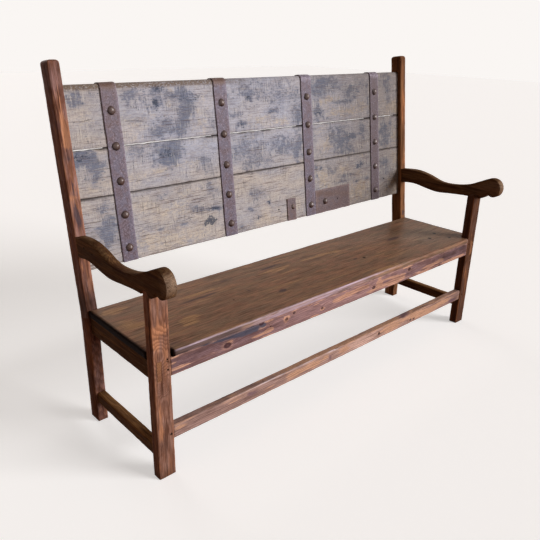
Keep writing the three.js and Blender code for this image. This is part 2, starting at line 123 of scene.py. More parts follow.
class Value:
    """A number that changes over a surface. Arithmetic on it adds Math nodes."""

    def __init__(self, finish, socket):
        self.finish = finish
        self.socket = socket

    def calculate(self, operation, *values):
        inputs = dict(enumerate(values))
        return self.finish.node("ShaderNodeMath", {"operation": operation}, inputs)

    def __add__(self, other):
        return self.calculate("ADD", self, other)

    __radd__ = __add__

    def __sub__(self, other):
        return self.calculate("SUBTRACT", self, other)

    def __rsub__(self, other):
        return self.calculate("SUBTRACT", other, self)

    def __mul__(self, other):
        return self.calculate("MULTIPLY", self, other)

    __rmul__ = __mul__

    def __truediv__(self, other):
        return self.calculate("DIVIDE", self, other)

    def __rtruediv__(self, other):
        return self.calculate("DIVIDE", other, self)

    def root(self):
        return self.calculate("SQRT", self)

    def fall(self):
        """1 at 0 and towards 0 far from it, for a squared distance."""
        return self.calculate("EXPONENT", self * -1)

    def fraction(self):
        return self.calculate("FRACT", self)

    def most(self, other):
        return self.calculate("MAXIMUM", self, other)

    def ease(self, low, high):
        """0 below low, 1 above high and smooth between; low may be the higher."""
        settings = {"interpolation_type": "SMOOTHSTEP"}
        if low < high:
            inputs = {0: self, 1: low, 2: high, 3: 0, 4: 1}
        else:
            inputs = {0: self, 1: high, 2: low, 3: 1, 4: 0}
        return self.finish.node("ShaderNodeMapRange", settings, inputs)


class Nodes:
    """The nodes of a material or of the room."""

    def __init__(self, tree):
        self.tree = tree

    def node(self, kind, settings=None, inputs=None, output=0):
        """New node: its settings first, then the values or links of its sockets."""
        made = self.tree.nodes.new(kind)
        for key, setting in (settings or {}).items():
            setattr(made, key, setting)
        for key, value in (inputs or {}).items():
            self.feed(made.inputs[key], value)
        return Value(self, made.outputs[output]) if made.outputs else made

    def feed(self, socket, value):
        if isinstance(value, Value):
            self.tree.links.new(value.socket, socket)
        else:
            socket.default_value = value

    def place(self, turn=0):
        """Place on the object in millimetres, turned about X where a piece leans back."""
        at = self.node("ShaderNodeTexCoord", output="Object")
        scaled = self.node(
            "ShaderNodeMapping",
            {"vector_type": "POINT"},
            {"Vector": at, "Rotation": (turn, 0, 0), "Scale": (MM, MM, MM)},
        )
        return [self.node("ShaderNodeSeparateXYZ", None, {0: scaled}, axis) for axis in (X, Y, Z)]

    def place_on_back(self):
        """Place in the frame of the back: along it, square through it and up its rake."""
        x, y, z = self.place()
        y, z = y - BACK_Y, z - BACK_Z
        return x, y * math.cos(RAKE) - z * math.sin(RAKE), y * math.sin(RAKE) + z * math.cos(RAKE)

    def vector(self, x, y, z):
        return self.node("ShaderNodeCombineXYZ", None, {0: x, 1: y, 2: z})

    def noise(self, x, y, z, detail=2, roughness=0.5):
        """Cloudy pattern, 0 to 1, one cloud to each unit of its three coordinates."""
        inputs = {"Vector": self.vector(x, y, z), "Scale": 1, "Detail": detail, "Roughness": roughness}
        return self.node("ShaderNodeTexNoise", None, inputs)

    def knots(self, u, v, places):
        """How near a point is to a knot, and how deep in its dark core. A knot is (along, across, radius)."""
        near = core = 0
        for along, across, radius in places:
            a, b = (u - along) / (1.5 * radius), (v - across) / radius
            away = a * a + b * b
            near = (away * 0.3).fall().most(near)
            core = (away.ease(0.95, 0.35) - away.ease(0.12, 0.0) * 0.25).most(core)
        return near, core

    def spot(self, u, v, place):
        """Small round mark with a soft rim, at (along, across, radius)."""
        along, across, radius = place
        away = (u - along) * (u - along) + (v - across) * (v - across)
        return away.ease((radius * 1.4) ** 2, (radius * 0.7) ** 2)

    def attribute(self, name):
        return self.node("ShaderNodeAttribute", {"attribute_name": name}, output="Fac")

    def mix(self, factor, first, second, blend="MIX"):
        settings = {"data_type": "RGBA", "blend_type": blend}
        return self.node("ShaderNodeMix", settings, {0: factor, 6: first, 7: second}, 2)

    def shaded(self, colour, level):
        """Colour made darker or lighter by a level that changes over the surface."""
        return self.mix(1.0, colour, self.vector(level, level, level), "MULTIPLY")

    def bump(self, height, distance):
        """Relief from a height in millimetres."""
        return self.node("ShaderNodeBump", None, {"Height": height, "Distance": distance / MM}, "Normal")


class Finish(Nodes):
    """A material and its surface shader."""

    def __init__(self, name):
        self.material = bpy.data.materials.new(name)
        self.material.use_nodes = True
        super().__init__(self.material.node_tree)
        self.shader = self.tree.nodes["Principled BSDF"]

    def set(self, **sockets):
        """Sockets of the shader, their spaces written as underscores."""
        for key, value in sockets.items():
            self.feed(self.shader.inputs[key.replace("_", " ")], value)


# Floor and room

ROOM_WHITE = tone(250, 246, 243)
FLOOR_WHITE = tone(226, 226, 226)
FLOOR_GLOW = tone(240, 240, 240)
FLOOR_UNSEEN = tone(150, 110, 90)
NO_GLOW = tone(0, 0, 0)


def white_rays(finish):
    """1 for rays from the camera, reflections and glass, which see the pale room."""
    camera, glossy, glass = (
        finish.node("ShaderNodeLightPath", output=ray)
        for ray in ("Is Camera Ray", "Is Glossy Ray", "Is Transmission Ray")
    )
    return camera.most(glossy).most(glass)


def light_room():
    world = bpy.data.worlds.new("pale_room")
    scene.world = world
    world.use_nodes = True
    room = Nodes(world.node_tree)
    room.tree.nodes.clear()
    fill = room.node("ShaderNodeBackground", None, {"Color": FILL_COLOUR, "Strength": FILL_STRENGTH})
    pale = room.node("ShaderNodeBackground", None, {"Color": ROOM_WHITE, "Strength": 1})
    both = room.node("ShaderNodeMixShader", None, {0: white_rays(room), 1: fill, 2: pale})
    room.node("ShaderNodeOutputWorld", None, {"Surface": both})
    for name, sun in SUNS.items():
        add_sun(name, *sun)


def lay_floor():
    floor = Finish("pale_floor")
    seen = white_rays(floor)
    floor.set(
        Base_Color=floor.mix(seen, FLOOR_UNSEEN, FLOOR_WHITE),
        Emission_Color=floor.mix(seen, NO_GLOW, FLOOR_GLOW),
        Emission_Strength=0.55,
        Roughness=0.9,
        Specular_IOR_Level=0.1,
    )
    sheet = bmesh.new()
    bmesh.ops.create_grid(sheet, x_segments=1, y_segments=1, size=FLOOR_REACH)
    mesh = bpy.data.meshes.new("floor")
    sheet.to_mesh(mesh)
    sheet.free()
    mesh.materials.append(floor.material)
    ground = bpy.data.objects.new("floor", mesh)
    scene.collection.objects.link(ground)


# Stained pine

KNOT_CORE = tone(60, 40, 48)
DARK_MARK_AND_SHADE = tone(26, 15, 12)
HOLE = tone(24, 16, 14)

# Pine, unless a piece says otherwise: its colours, with knocked arrises as bare as bare wood where
# none is given for them, then the width of a growth ring, and strengths
PINE = dict(
    stain=tone(128, 90, 68),
    bloom=tone(144, 112, 102),
    bare=tone(190, 126, 84),
    deep=tone(62, 36, 28),
    pale=tone(196, 158, 144),
    ink=tone(70, 62, 70),
    # colour of the glints, which are painted highlights
    rubbed=tone(196, 172, 178),
    arris=None,
    ring=4.0,
    ripple=1.0,
    lines=0.5,
    bold=0.5,
    crisp=0.0,
    wax=0.0,
    sheen=0.006,
)

# Pine of the arms, the side rails and the hidden rails, darker than the rest
DARK_PINE = dict(stain=tone(98, 68, 46), bloom=tone(110, 84, 58), bare=tone(150, 110, 72), sheen=0.004)
# A darker copy of it for the pieces at the left end: painted shade
SHADE_PAINTED_PINE = dict(DARK_PINE, stain=tone(88, 61, 41), bloom=tone(101, 77, 53))


def pine(name, axes, heart, seed, knots=(), spots=(), swirls=(), lean=0.0, **changes):
    """Stained pine. Its axes are the grain, across the face that shows most, and through it.

    Its rings lie round a heart, given across and through. Knots, swirls and dark spots are
    (place along, place across, radius)."""
    look = SimpleNamespace(**{**PINE, **changes})
    finish = Finish(name)
    at = dict(zip("xyz", finish.place(lean)))
    u, v, w = (at[axis] for axis in axes)

    def drawn_out(length, width, detail=2, roughness=0.5):
        """Clouds of a length along the grain and a width across it."""
        return finish.noise(u / length + seed, v / width, w / width, detail, roughness)

    cloud = drawn_out(520, 55, 3)
    wander = drawn_out(130, 15)
    fibres = drawn_out(24, 0.8, 3, 0.6)
    grain = drawn_out(60, 2.6, 4, 0.7)
    streak = drawn_out(150, 9, 4, 0.6)
    band = drawn_out(330, 24, 3, 0.6)
    blotch = drawn_out(80, 26, 5, 0.65)

    near, core = finish.knots(u, v, knots)
    swirl, _ = finish.knots(u, v, swirls)
    from_heart = ((v - heart[0]) * (v - heart[0]) + (w - heart[1]) * (w - heart[1])).root()
    rings = from_heart + cloud * (30 * look.ripple) + wander * (5 * look.ripple) + near * 10 + swirl * 24
    season = (rings / look.ring).fraction()
    latewood = season.ease(0.2, 0.75) * season.ease(1.0, 0.85)

    stray = (streak - 0.5) * (1.6 - look.crisp) + (grain - 0.5) * (0.9 - look.crisp * 0.3)
    gold = (finish.attribute("gold") + stray).ease(0.35 + look.crisp * 0.08, 0.85 - look.crisp * 0.2)
    cloudy = (blotch - 0.5) * (1.3 - look.crisp * 0.5) + (grain - 0.5) * 0.8
    slate = (finish.attribute("slate") + cloudy).ease(0.4, 0.8)
    wear_and_highlight = finish.attribute("wear_and_highlight") * grain.ease(0.3, 0.65)
    # The dark layer holds dark marks and painted shade: undercuts, the seat's notch, the posts round the seat
    # and towards the right end
    dark_marks_and_shade = finish.attribute("dark")

    colour = finish.mix(blotch.ease(0.38, 0.64), look.stain, look.bloom)
    colour = finish.mix((streak * 0.5 + band * 0.5).ease(0.5, 0.64) * look.bold, colour, look.bare)
    colour = finish.mix(finish.attribute("pale") * (0.3 + streak * 0.7), colour, look.pale)
    colour = finish.mix(gold * 0.85, colour, look.bare)
    if knots:
        colour = finish.mix(near.ease(0.4, 0.75) * 0.25, colour, look.bare)
    colour = finish.mix(latewood * grain.ease(0.25, 0.6) * look.lines, colour, look.deep)
    colour = finish.mix(grain.ease(0.44, 0.34) * 0.55, colour, look.deep)
    shadows = (streak * 0.6 + band * 0.4).ease(0.48, 0.36)
    colour = finish.mix(shadows * (0.4 + look.bold * 0.6), colour, look.deep)
    colour = finish.mix(slate * 0.85, colour, look.ink)
    if knots:
        colour = finish.mix(core * 0.85, colour, KNOT_CORE)
    colour = finish.mix(wear_and_highlight * 0.7, colour, look.arris or look.bare)
    # Painted highlight where a piece has glints
    colour = finish.mix(finish.attribute("painted_glint") * streak.ease(0.3, 0.5), colour, look.rubbed)
    colour = finish.mix(dark_marks_and_shade, colour, DARK_MARK_AND_SHADE)
    colour = finish.shaded(colour, 0.66 + fibres.ease(0.3, 0.7) * 0.2 + grain.ease(0.32, 0.68) * 0.48)
    for spot in spots:
        colour = finish.mix(finish.spot(u, v, spot), colour, HOLE)

    relief = fibres * 0.35 + latewood * 0.5 + grain * 0.6 - core * 0.6
    finish.set(
        Base_Color=colour,
        Roughness=0.36 + fibres * 0.2 + slate * 0.1,
        Specular_IOR_Level=look.sheen,
        Coat_Weight=(1 - dark_marks_and_shade) * look.wax if look.wax else 0,
        Coat_Roughness=0.3,
        Normal=finish.bump(relief, 0.5),
    )
    return finish.material


# Weathered planks

GREY_BOARD = tone(188, 178, 170)
SILVER_BOARD = tone(171, 169, 175)
SKY_CAST = tone(180, 192, 222)
SMOKE = tone(136, 136, 146)
BOARD_IN_SHADE = tone(118, 112, 112)
LATEWOOD_GREY = tone(112, 94, 92)
GRAIN_BROWN = tone(94, 78, 76)
STROKE_WHITE = tone(196, 188, 178)
SAW_SHADOW = tone(88, 88, 98)
SAW_LIGHT = tone(206, 200, 188)
MOULD = tone(54, 63, 80)
EDGE_BROWN = tone(100, 82, 64)
CRACK = tone(38, 28, 26)

# Painted shade over the planks towards the right: where it begins and where it is darkest, and their colours
# as (to the left of that, to the right of that, in the painted shade)
SHADE_FROM, SHADE_TO = 60, 620
SAND = tone(200, 184, 162), tone(148, 130, 106)
FLAKE_SHADOW = tone(130, 128, 136), tone(92, 90, 96)
FLAKE_LIGHT = tone(210, 202, 194), tone(156, 148, 138)
BLUE_WASH = tone(106, 114, 134), tone(82, 86, 98)
BLUE_STAIN = tone(80, 92, 118), tone(66, 74, 92)

# Nail holes and the dark behind the plate's empty hole, as (along, up, radius)
BOARD_HOLES = ((20, 211, 3.6), (762, 247, 4), (782, 673, 2.8), (400, 201, 5))


def weathered(name):
    """Old door planks: grey-brown, sawn across, stained blue-grey in patches and cracked along the grain."""
    finish = Finish(name)
    x, t, s = finish.place_on_back()

    def clouds(length, height, depth, detail, roughness=0.5, shift=0):
        return finish.noise(x / length + shift, s / height, t / depth, detail, roughness)

    cloud = clouds(170, 80, 80, 3).ease(0.34, 0.66)
    drift = clouds(75, 45, 45, 4, 0.6, 11).ease(0.32, 0.68)
    strokes = clouds(34, 3, 4, 4, 0.7).ease(0.3, 0.7)
    combed = clouds(3, 50, 30, 4, 0.7).ease(0.3, 0.7)
    flake = clouds(14, 8, 8, 5, 0.7, 5).ease(0.36, 0.64)
    speck = clouds(8, 5, 5, 5, 0.75).ease(0.3, 0.7)
    grit = clouds(1.7, 1.5, 2, 2, 0.6).ease(0.3, 0.7)
    grain = clouds(90, 2.6, 4, 3, 0.6)
    sawn = finish.noise(x / 100 + 7, s / 60, 0).ease(0.42, 0.6)
    rings = (s / 13 + t / 7 + clouds(420, 75, 90, 2) * 11).fraction()
    latewood = rings.ease(0.55, 0.9) * rings.ease(1.0, 0.94)

    rough = (strokes - 0.5) * 0.5 + (combed - 0.5) * (0.1 + sawn * 0.4) + (speck - 0.5) + (flake - 0.5) * 0.9
    blue = (finish.attribute("stain") * 1.3 + rough).ease(0.5, 0.9)
    wash = (finish.attribute("stain") * 1.6 + rough * 0.5).ease(0.1, 1.1)
    mould = (finish.attribute("mould") * 1.3 + rough * 0.75).ease(0.5, 0.75)
    warm = (finish.attribute("warm") + rough * 0.7).ease(0.2, 1.1)
    lower_board = s.ease(400, 390)
    sky_cast_area = x.ease(-800, -560) * x.ease(820, 380) * s.ease(340, 540)
    darker = x.ease(SHADE_FROM, SHADE_TO)

    def fading(ends):
        return finish.mix(darker, *ends)

    colour = finish.mix(cloud, GREY_BOARD, SILVER_BOARD)
    # Painted bluish cast of sky light over the upper middle of the planks
    colour = finish.mix(sky_cast_area * 0.4, colour, SKY_CAST)
    colour = finish.mix((drift + speck * 0.4 - 0.2).ease(0.5, 1.0) * 0.4, colour, SMOKE)
    # Painted shade towards the right end
    colour = finish.mix(darker * 0.75, colour, BOARD_IN_SHADE)
    colour = finish.mix(warm * 0.7, colour, fading(SAND))
    colour = finish.mix(flake.ease(0.5, 0.0) * 0.3, colour, fading(FLAKE_SHADOW))
    colour = finish.mix(flake.ease(0.6, 1.0) * 0.28, colour, fading(FLAKE_LIGHT))
    colour = finish.mix(wash * 0.4, colour, fading(BLUE_WASH))
    colour = finish.mix(blue * 0.65, colour, fading(BLUE_STAIN))
    colour = finish.mix(latewood * grain.ease(0.4, 0.62) * 0.3, colour, LATEWOOD_GREY)
    colour = finish.mix(grain.ease(0.46, 0.36) * (0.3 + drift * 0.4 + lower_board * 0.3), colour, GRAIN_BROWN)
    colour = finish.mix(strokes.ease(0.6, 1.0) * 0.35, colour, STROKE_WHITE)
    colour = finish.mix(combed.ease(0.55, 0.95) * sawn * 0.4, colour, SAW_SHADOW)
    colour = finish.mix(combed.ease(0.4, 0.0) * sawn * 0.35, colour, SAW_LIGHT)
    colour = finish.mix(mould * 0.85, colour, MOULD)
    colour = finish.mix(finish.attribute("edge") * speck.ease(0, 0.6) * 0.9, colour, EDGE_BROWN)
    colour = finish.mix(finish.attribute("crack"), colour, CRACK)
    colour = finish.shaded(colour, 0.7 + speck * 0.34 + strokes * 0.08 + grit * 0.12)
    for hole in BOARD_HOLES:
        colour = finish.mix(finish.spot(x, s, hole), colour, HOLE)

    relief = grain * 0.8 - combed * sawn * 0.2 + speck * 0.25 + grit * 0.15
    finish.set(
        Base_Color=colour,
        Roughness=0.7 + speck * 0.12,
        Specular_IOR_Level=0.2,
        Normal=finish.bump(relief, 0.9),
    )
    return finish.material


# Wrought iron

IRON_HOLLOW = tone(70, 54, 54)
IRON_IN_SHADE = tone(74, 57, 58)
RED_RUST = tone(96, 71, 56)
SCALE_HOLLOW = tone(66, 50, 48)
PIT = tone(48, 36, 34)
IRON_SHADE_FROM, IRON_SHADE_TO = 100, 720


def wrought(name, skin, rust, shine, dimple=9, polish=0.2, rough=0.34):
    """Old iron under wax: mottled skin, rusty hollows, rubbed edges with painted highlights, and dimples of a
    width.
    """
    finish = Finish(name)
    x, y, z = finish.place()

    def clouds(width, detail, roughness=0.5):
        return finish.noise(x / width, y / width, z / width, detail, roughness)

    cloud = clouds(24, 4, 0.65)
    beaten = clouds(dimple, 2)
    scale = clouds(5, 4, 0.75)
    pits = clouds(1.6, 3, 0.65)
    dust = clouds(7, 4, 0.75)

    colour = finish.mix(cloud.ease(0.42, 0.6) * 0.7, skin, rust)
    colour = finish.mix(dust.ease(0.53, 0.66) * 0.6, colour, shine)
    colour = finish.mix(dust.ease(0.46, 0.34) * 0.6, colour, IRON_HOLLOW)
    colour = finish.mix(finish.attribute("rusty") * 0.85, colour, RED_RUST)
    # Painted shade towards the bench's right end
    colour = finish.mix(x.ease(IRON_SHADE_FROM, IRON_SHADE_TO) * 0.74, colour, IRON_IN_SHADE)
    colour = finish.mix(scale.ease(0.52, 0.72) * 0.6, colour, shine)
    colour = finish.mix(scale.ease(0.46, 0.32) * 0.6, colour, SCALE_HOLLOW)
    colour = finish.mix(pits.ease(0.45, 0.3) * 0.5, colour, PIT)
    colour = finish.mix(finish.attribute("wear_and_highlight") * beaten.ease(0.3, 0.6) * 0.7, colour, shine)
    finish.set(
        Base_Color=colour,
        Metallic=pits * 0.15,
        Roughness=pits * 0.3 + rough,
        Specular_IOR_Level=polish,
        Normal=finish.bump(beaten * 0.7 + scale * 0.5 + pits * 0.35, 0.7),
    )
    return finish.material


# Shapes

# How fast the noise that shapes a piece changes, for each millimetre
SLOW_WANDER, QUICK_WANDER = 0.005, 0.022
PATCH_DRIFT, PATCH_FRAY = 0.018, 0.055

# Two places closer than this, in millimetres, are one
CLOSE = 0.1


def steps(low, high, pitch):
    """Even places between two ends, about a pitch apart."""
    count = max(1, round((high - low) / pitch))
    return [low + (high - low) * i / count for i in range(1, count)]


def limited(value, low=0, high=1):
    return min(high, max(low, value))


def copied(node):
    """Merged copy of a CAD node's mesh, in millimetres, with its flat faces whole."""
    shape = bmesh.new()
    shape.from_mesh(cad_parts[node].data)
    bmesh.ops.scale(shape, vec=(MM, MM, MM), verts=shape.verts)
    bmesh.ops.remove_doubles(shape, verts=shape.verts, dist=0.01)
    bmesh.ops.dissolve_limit(shape, angle_limit=math.radians(0.5), verts=shape.verts, edges=shape.edges)
    return shape


def span(shape, axis):
    places = [vert.co[axis] for vert in shape.verts]
    return min(places), max(places)


def cut(shape, point, normal, within=None):
    """Edges where a plane crosses a shape, or only the faces within a part of it."""
    faces = [face for face in shape.faces if within is None or within(face.calc_center_median())]
    edges = dict.fromkeys(edge for face in faces for edge in face.edges)
    verts = dict.fromkeys(vert for face in faces for vert in face.verts)
    everything = [*faces, *edges, *verts]
    bmesh.ops.bisect_plane(shape, geom=everything, dist=0.0001, plane_co=point, plane_no=normal)


def cut_across(shape, axis, places, within=None):
    for place in places:
        point, normal = Vector(), Vector()
        point[axis] = place
        normal[axis] = 1
        cut(shape, point, normal, within)


def turned(shape, matrix):
    bmesh.ops.transform(shape, matrix=matrix, verts=shape.verts)


def brushed(shape, layer, patches, axes=(X, Z), ragged=0.25):
    """Strength at each point of soft patches, each (across, up, half width, half height, strength)."""
    values = shape.verts.layers.float.new(layer)
    for vert in shape.verts:
        across, up = vert.co[axes[0]], vert.co[axes[1]]
        drift = noise.noise_vector(vert.co * PATCH_DRIFT) * 0.8 + noise.noise_vector(vert.co * PATCH_FRAY)
        drift *= ragged
        vert[values] = sum(
            strength * math.exp(-((across - a) / wide + drift.x) ** 2 - ((up - b) / high + drift.z) ** 2)
            for a, b, wide, high, strength in patches
            if abs(across - a) < 3.5 * wide and abs(up - b) < 3.5 * high
        )


def sharp_verts(shape, degrees=25):
    turn = math.radians(degrees)
    sharp = [edge for edge in shape.edges if len(edge.link_faces) == 2 and edge.calc_face_angle(0) > turn]
    return {vert for edge in sharp for vert in edge.verts}


def hand_worked(shape, knock=1.1):
    """Sawn and planed by hand: faces wander a little and arrises are knocked in by up to about a knock."""
    wear_and_highlight = shape.verts.layers.float.new("wear_and_highlight")
    shape.normal_update()
    arrises = sharp_verts(shape)
    moves = []
    for vert in shape.verts:
        slow = noise.noise_vector(vert.co * SLOW_WANDER)
        move = slow * 0.9 + noise.noise_vector(vert.co * QUICK_WANDER) * 0.3
        if vert in arrises:
            vert[wear_and_highlight] = limited(0.55 + noise.noise(vert.co * 0.03))
            knocked = max(0, noise.noise(vert.co * 0.05 + Vector((9, 3, 5))) + 0.1)
            move -= vert.normal * knock * knocked
        moves.append(move)
    for vert, move in zip(shape.verts, moves):
        vert.co += move


def finished(name, shape, finish, node):
    """Piece from a shape in millimetres, shown in place of its CAD node."""
    bmesh.ops.scale(shape, vec=(1 / MM,) * 3, verts=shape.verts)
    mesh = bpy.data.meshes.new(name)
    shape.to_mesh(mesh)
    shape.free()
    mesh.shade_smooth()
    mesh.set_sharp_from_angle(angle=math.radians(50))
    mesh.materials.append(finish)
    piece = bpy.data.objects.new(name, mesh)
    scene.collection.objects.link(piece)
    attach(piece, "root")
    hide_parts(node)


# Timber of the frame

# Cuts: how far beside an arris the first one lies, and how far apart they are along a piece and across it
ARRIS_CUT = 6
LONG_PITCH, CROSS_PITCH = 14, 16

# How far behind a piece's front face its glints, which are painted highlights, and its torn grain end
PAINTED_GLINT_DEPTH, TORN_DEPTH = 5, 12

# Rear post: the cuts of its upright foot, up to the bend, and of its raked length, given up the rake
FOOT_TOP, FOOT_CUTS = 432, (187.3, 210, 232.3)
RAKED_CUTS, RAKED_FROM, RAKED_TO = (6, 29, 51), 8, 843

# Arm: rounding of its outline, the least area of a flat side, and its cheek and rear end, which stay sharp
ARM_ROUND, ARM_SIDE_AREA = 5, 3000
CHEEK_FRONT, CHEEK_BACK, CHEEK_TOP = -239, -198.5, 672.5
ARM_REAR = 170


def timber(node, finish, along, face=None, pitch=LONG_PITCH, fine=CROSS_PITCH, slot="stained_pine",
           painted_glint=(), torn=(), **patches):
    """Straight piece of the frame, cut at a pitch along it and at a fine pitch across it.

    Its gold, slate, pale and dark patches lie on the face that shows most, its glints, which are
    painted highlights, and torn grain on the front."""
    shape = copied(node)
    for axis in (X, Y, Z):
        low, high = span(shape, axis)
        places = steps(low, high, pitch)
        if axis != along:
            low, high = low + ARRIS_CUT, high - ARRIS_CUT
            places = [low, *steps(low, high, fine), high]
        cut_across(shape, axis, places)
    for layer in ("gold", "slate", "pale", "dark"):
        brushed(shape, layer, patches.get(layer, ()), face or ((Y, Z) if along == Y else (X, Z)))
    brushed(shape, "painted_glint", painted_glint)
    brushed(shape, "torn", torn)
    lit, ripped = (shape.verts.layers.float[layer] for layer in ("painted_glint", "torn"))
    front = span(shape, Y)[0]
    for vert in shape.verts:
        if vert.co.y > front + PAINTED_GLINT_DEPTH:
            vert[lit] = 0
        if vert.co.y < front + TORN_DEPTH:
            vert.co.z -= vert[ripped] * max(0, 0.6 + noise.noise(vert.co * 0.11))
    hand_worked(shape)
    finished(node + "_timber", shape, finish, node)


def rear_post(side, finish, **patches):
    """Post whose upper length leans back. Its gold, slate and dark patches are given up the rake."""
    node = f"rear_post_{side}"
    shape = copied(node)
    low, high = span(shape, X)
    cut_across(shape, X, [low + ARRIS_CUT, (low + high) / 2, high - ARRIS_CUT])
    cut_across(shape, Y, FOOT_CUTS, lambda place: place.z < FOOT_TOP)
    cut_across(shape, Z, steps(0, BACK_Z, LONG_PITCH))
    turned(shape, BACK.inverted())
    cut_across(shape, Y, RAKED_CUTS, lambda place: place.z > 0)
    cut_across(shape, Z, steps(RAKED_FROM, RAKED_TO, LONG_PITCH))
    for layer in ("gold", "slate", "dark"):
        brushed(shape, layer, patches[layer])
    turned(shape, BACK)
    hand_worked(shape)
    finished(node + "_timber", shape, finish, node)


def arm_outline(shape, outer):
    """Edges round an arm's two flat sides, but for its cheek on the leg and its end at the post."""
    low, high = span(shape, X)
    rounded = []
    for edge in shape.edges:
        flat = [face for face in edge.link_faces if abs(face.normal.x) > 0.99]
        outline = [face for face in edge.link_faces if abs(face.normal.x) < 0.1]
        if len(flat) != 1 or len(outline) != 1:
            continue
        middle = (edge.verts[0].co + edge.verts[1].co) / 2
        on_side = abs(middle.x - low) < CLOSE or abs(middle.x - high) < CLOSE
        on_leg = CHEEK_FRONT < middle.y < CHEEK_BACK and middle.z < CHEEK_TOP
        at_cheek = abs(middle.x - outer) < CLOSE and on_leg
        at_post = outline[0].normal.y > 0.95 and middle.y > ARM_REAR
        if on_side and not at_cheek and not at_post:
            rounded.append(edge)
    return rounded


def arm(side, finish):
    """Scrolled arm with the edges of its outline rounded by a plane and paper."""
    node = f"arm_{side}"
    shape = copied(node)
    low, high = span(shape, X)
    outline = arm_outline(shape, high if side == "right" else low)
    bmesh.ops.bevel(
        shape, geom=outline, affect="EDGES", offset=ARM_ROUND, offset_type="OFFSET", segments=3,
        profile=0.5, material=-1, clamp_overlap=True)
    sides = [face for face in shape.faces if abs(face.normal.x) > 0.99 and face.calc_area() > ARM_SIDE_AREA]
    bmesh.ops.inset_individual(shape, faces=sides, thickness=ARM_ROUND)
    # The gold and pale on the scroll's lobe and along the top edge are painted highlights
    gold = ((-322, 738, 30, 12, 0.2), (-333, 695, 10, 20, 0.5), (-230, 752, 60, 8, 0.6))
    brushed(shape, "gold", gold, (Y, Z))
    brushed(shape, "pale", ((-333, 728, 18, 26, 0.9),), (Y, Z))
    hand_worked(shape, knock=0.4)
    finished(node + "_timber", shape, finish, node)


# Planks of the back

# Radii of the planks' arrises, of the top edge in front and behind, and cuts along and up the planks
BOARD_ARRIS, TOP_FRONT_ROUND, TOP_REAR_ROUND = 2.2, 16, 8
BOARD_PITCH, ROW_PITCH = 6, 5.5
BOARD_CUTS = (24, 36, 48)

# Relief of a plank's front: how deep it goes, how it fades there, and how a gap closes at its ends
RELIEF_DEPTH, RELIEF_FADE = 30, 12
GAP_FADE, GAP_CLOSING = 6, 2.4

# Chips: how far they reach from a long edge, and their share at the panel's own bottom and top edges
CHIP_REACH = 9
OUTER_CHIPS = {PANEL_BOTTOM: 0.6, PANEL_TOP: 0}

# Cracks: how far past their ends, beside them and into the plank its faces are cut for them
CRACK_PAST, CRACK_BESIDE, CRACK_INTO = 4, 9, 20

# Brown on the top edge: its height, its fade down the face, and where and how it fades to the right
BROWN_HEIGHT, BROWN_FADE = 24, 9
BROWN_TO_X, BROWN_FADE_X, LEAST_BROWN = -60, 200, 0.15

# Where the upper gap between the planks is closed and dark: middle, half width and depth of the dark
GAP_ENDS = (
    (-765, 16, 3.4), (-310, 26, 3.4), (-26, 22, 3.4), (158, 28, 3.4), (618, 38, 3.4), (855, 26, 3.4),
)


def crack(shape, line, width=1.3, depth=3):
    """Split along the grain: three cuts beside each other, the middle one sunk."""
    layer = shape.verts.layers.float.get("crack")
    for (x0, s0), (x1, s1) in zip(line, line[1:]):
        start = Vector((x0, 0, s0))
        along = Vector((x1 - x0, 0, s1 - s0)).normalized()
        normal = Vector((-along.z, 0, along.x))

        def near(place):
            beside = abs((place - start).dot(normal)) < CRACK_BESIDE
            return beside and x0 - CRACK_PAST < place.x < x1 + CRACK_PAST and place.y < CRACK_INTO

        for offset in (-width, 0, width):
            cut(shape, start + normal * offset, normal, near)
        for vert in shape.verts:
            on_line = x0 <= vert.co.x <= x1 and abs((vert.co - start).dot(normal)) < 0.05
            if on_line and vert.co.y < PLANK_FRONT + 2:
                strength = 0.55 + 0.9 * noise.noise(Vector((vert.co.x * 0.03, s0, 0)))
                vert[layer] = max(vert[layer], limited(strength, 0.1))
                vert.co.y += depth * vert[layer]


def board(bottom, top):
    """Plain plank with rounded long edges, the top plank's more than the others', cut for its relief."""
    shape = bmesh.new()
    size = Vector((2 * PANEL_END, PLANK_BACK - PLANK_FRONT, top - bottom))
    middle = Vector((0, (PLANK_BACK + PLANK_FRONT) / 2, (top + bottom) / 2))
    bmesh.ops.create_cube(shape, size=1, matrix=Matrix.Translation(middle) @ Matrix.Diagonal(size).to_4x4())
    upper = top == PANEL_TOP
    for front, high, radius, segments in (
        (True, True, TOP_FRONT_ROUND if upper else BOARD_ARRIS, 6 if upper else 2),
        (False, True, TOP_REAR_ROUND if upper else BOARD_ARRIS, 4 if upper else 2),
        (True, False, BOARD_ARRIS, 2),
        (False, False, BOARD_ARRIS, 2),
    ):
        edge = [
            edge for edge in shape.edges
            if all((v.co.y < middle.y) == front and (v.co.z > middle.z) == high for v in edge.verts)
            and edge.calc_length() > PANEL_END
        ]
        bmesh.ops.bevel(
            shape, geom=edge, affect="EDGES", offset=radius, segments=segments, profile=0.5, material=-1)
    flat_top = top - (TOP_FRONT_ROUND + 1 if upper else 3)
    cut_across(shape, Z, steps(bottom + 3, flat_top, ROW_PITCH))
    cut_across(shape, Y, BOARD_CUTS)
    cut_across(shape, X, steps(-PANEL_END, PANEL_END, BOARD_PITCH))
    return shape


def chipping(x, t, end):
    """How far a long edge of a plank is ragged, and how deep it is chipped, at a place on it."""
    ragged = 0.5 + noise.noise(Vector((x * 0.09, end + 3, t * 0.05)))
    chip = max(0, noise.noise(Vector((x * 0.028, end, t * 0.03))) - 0.12)
    return ragged, chip


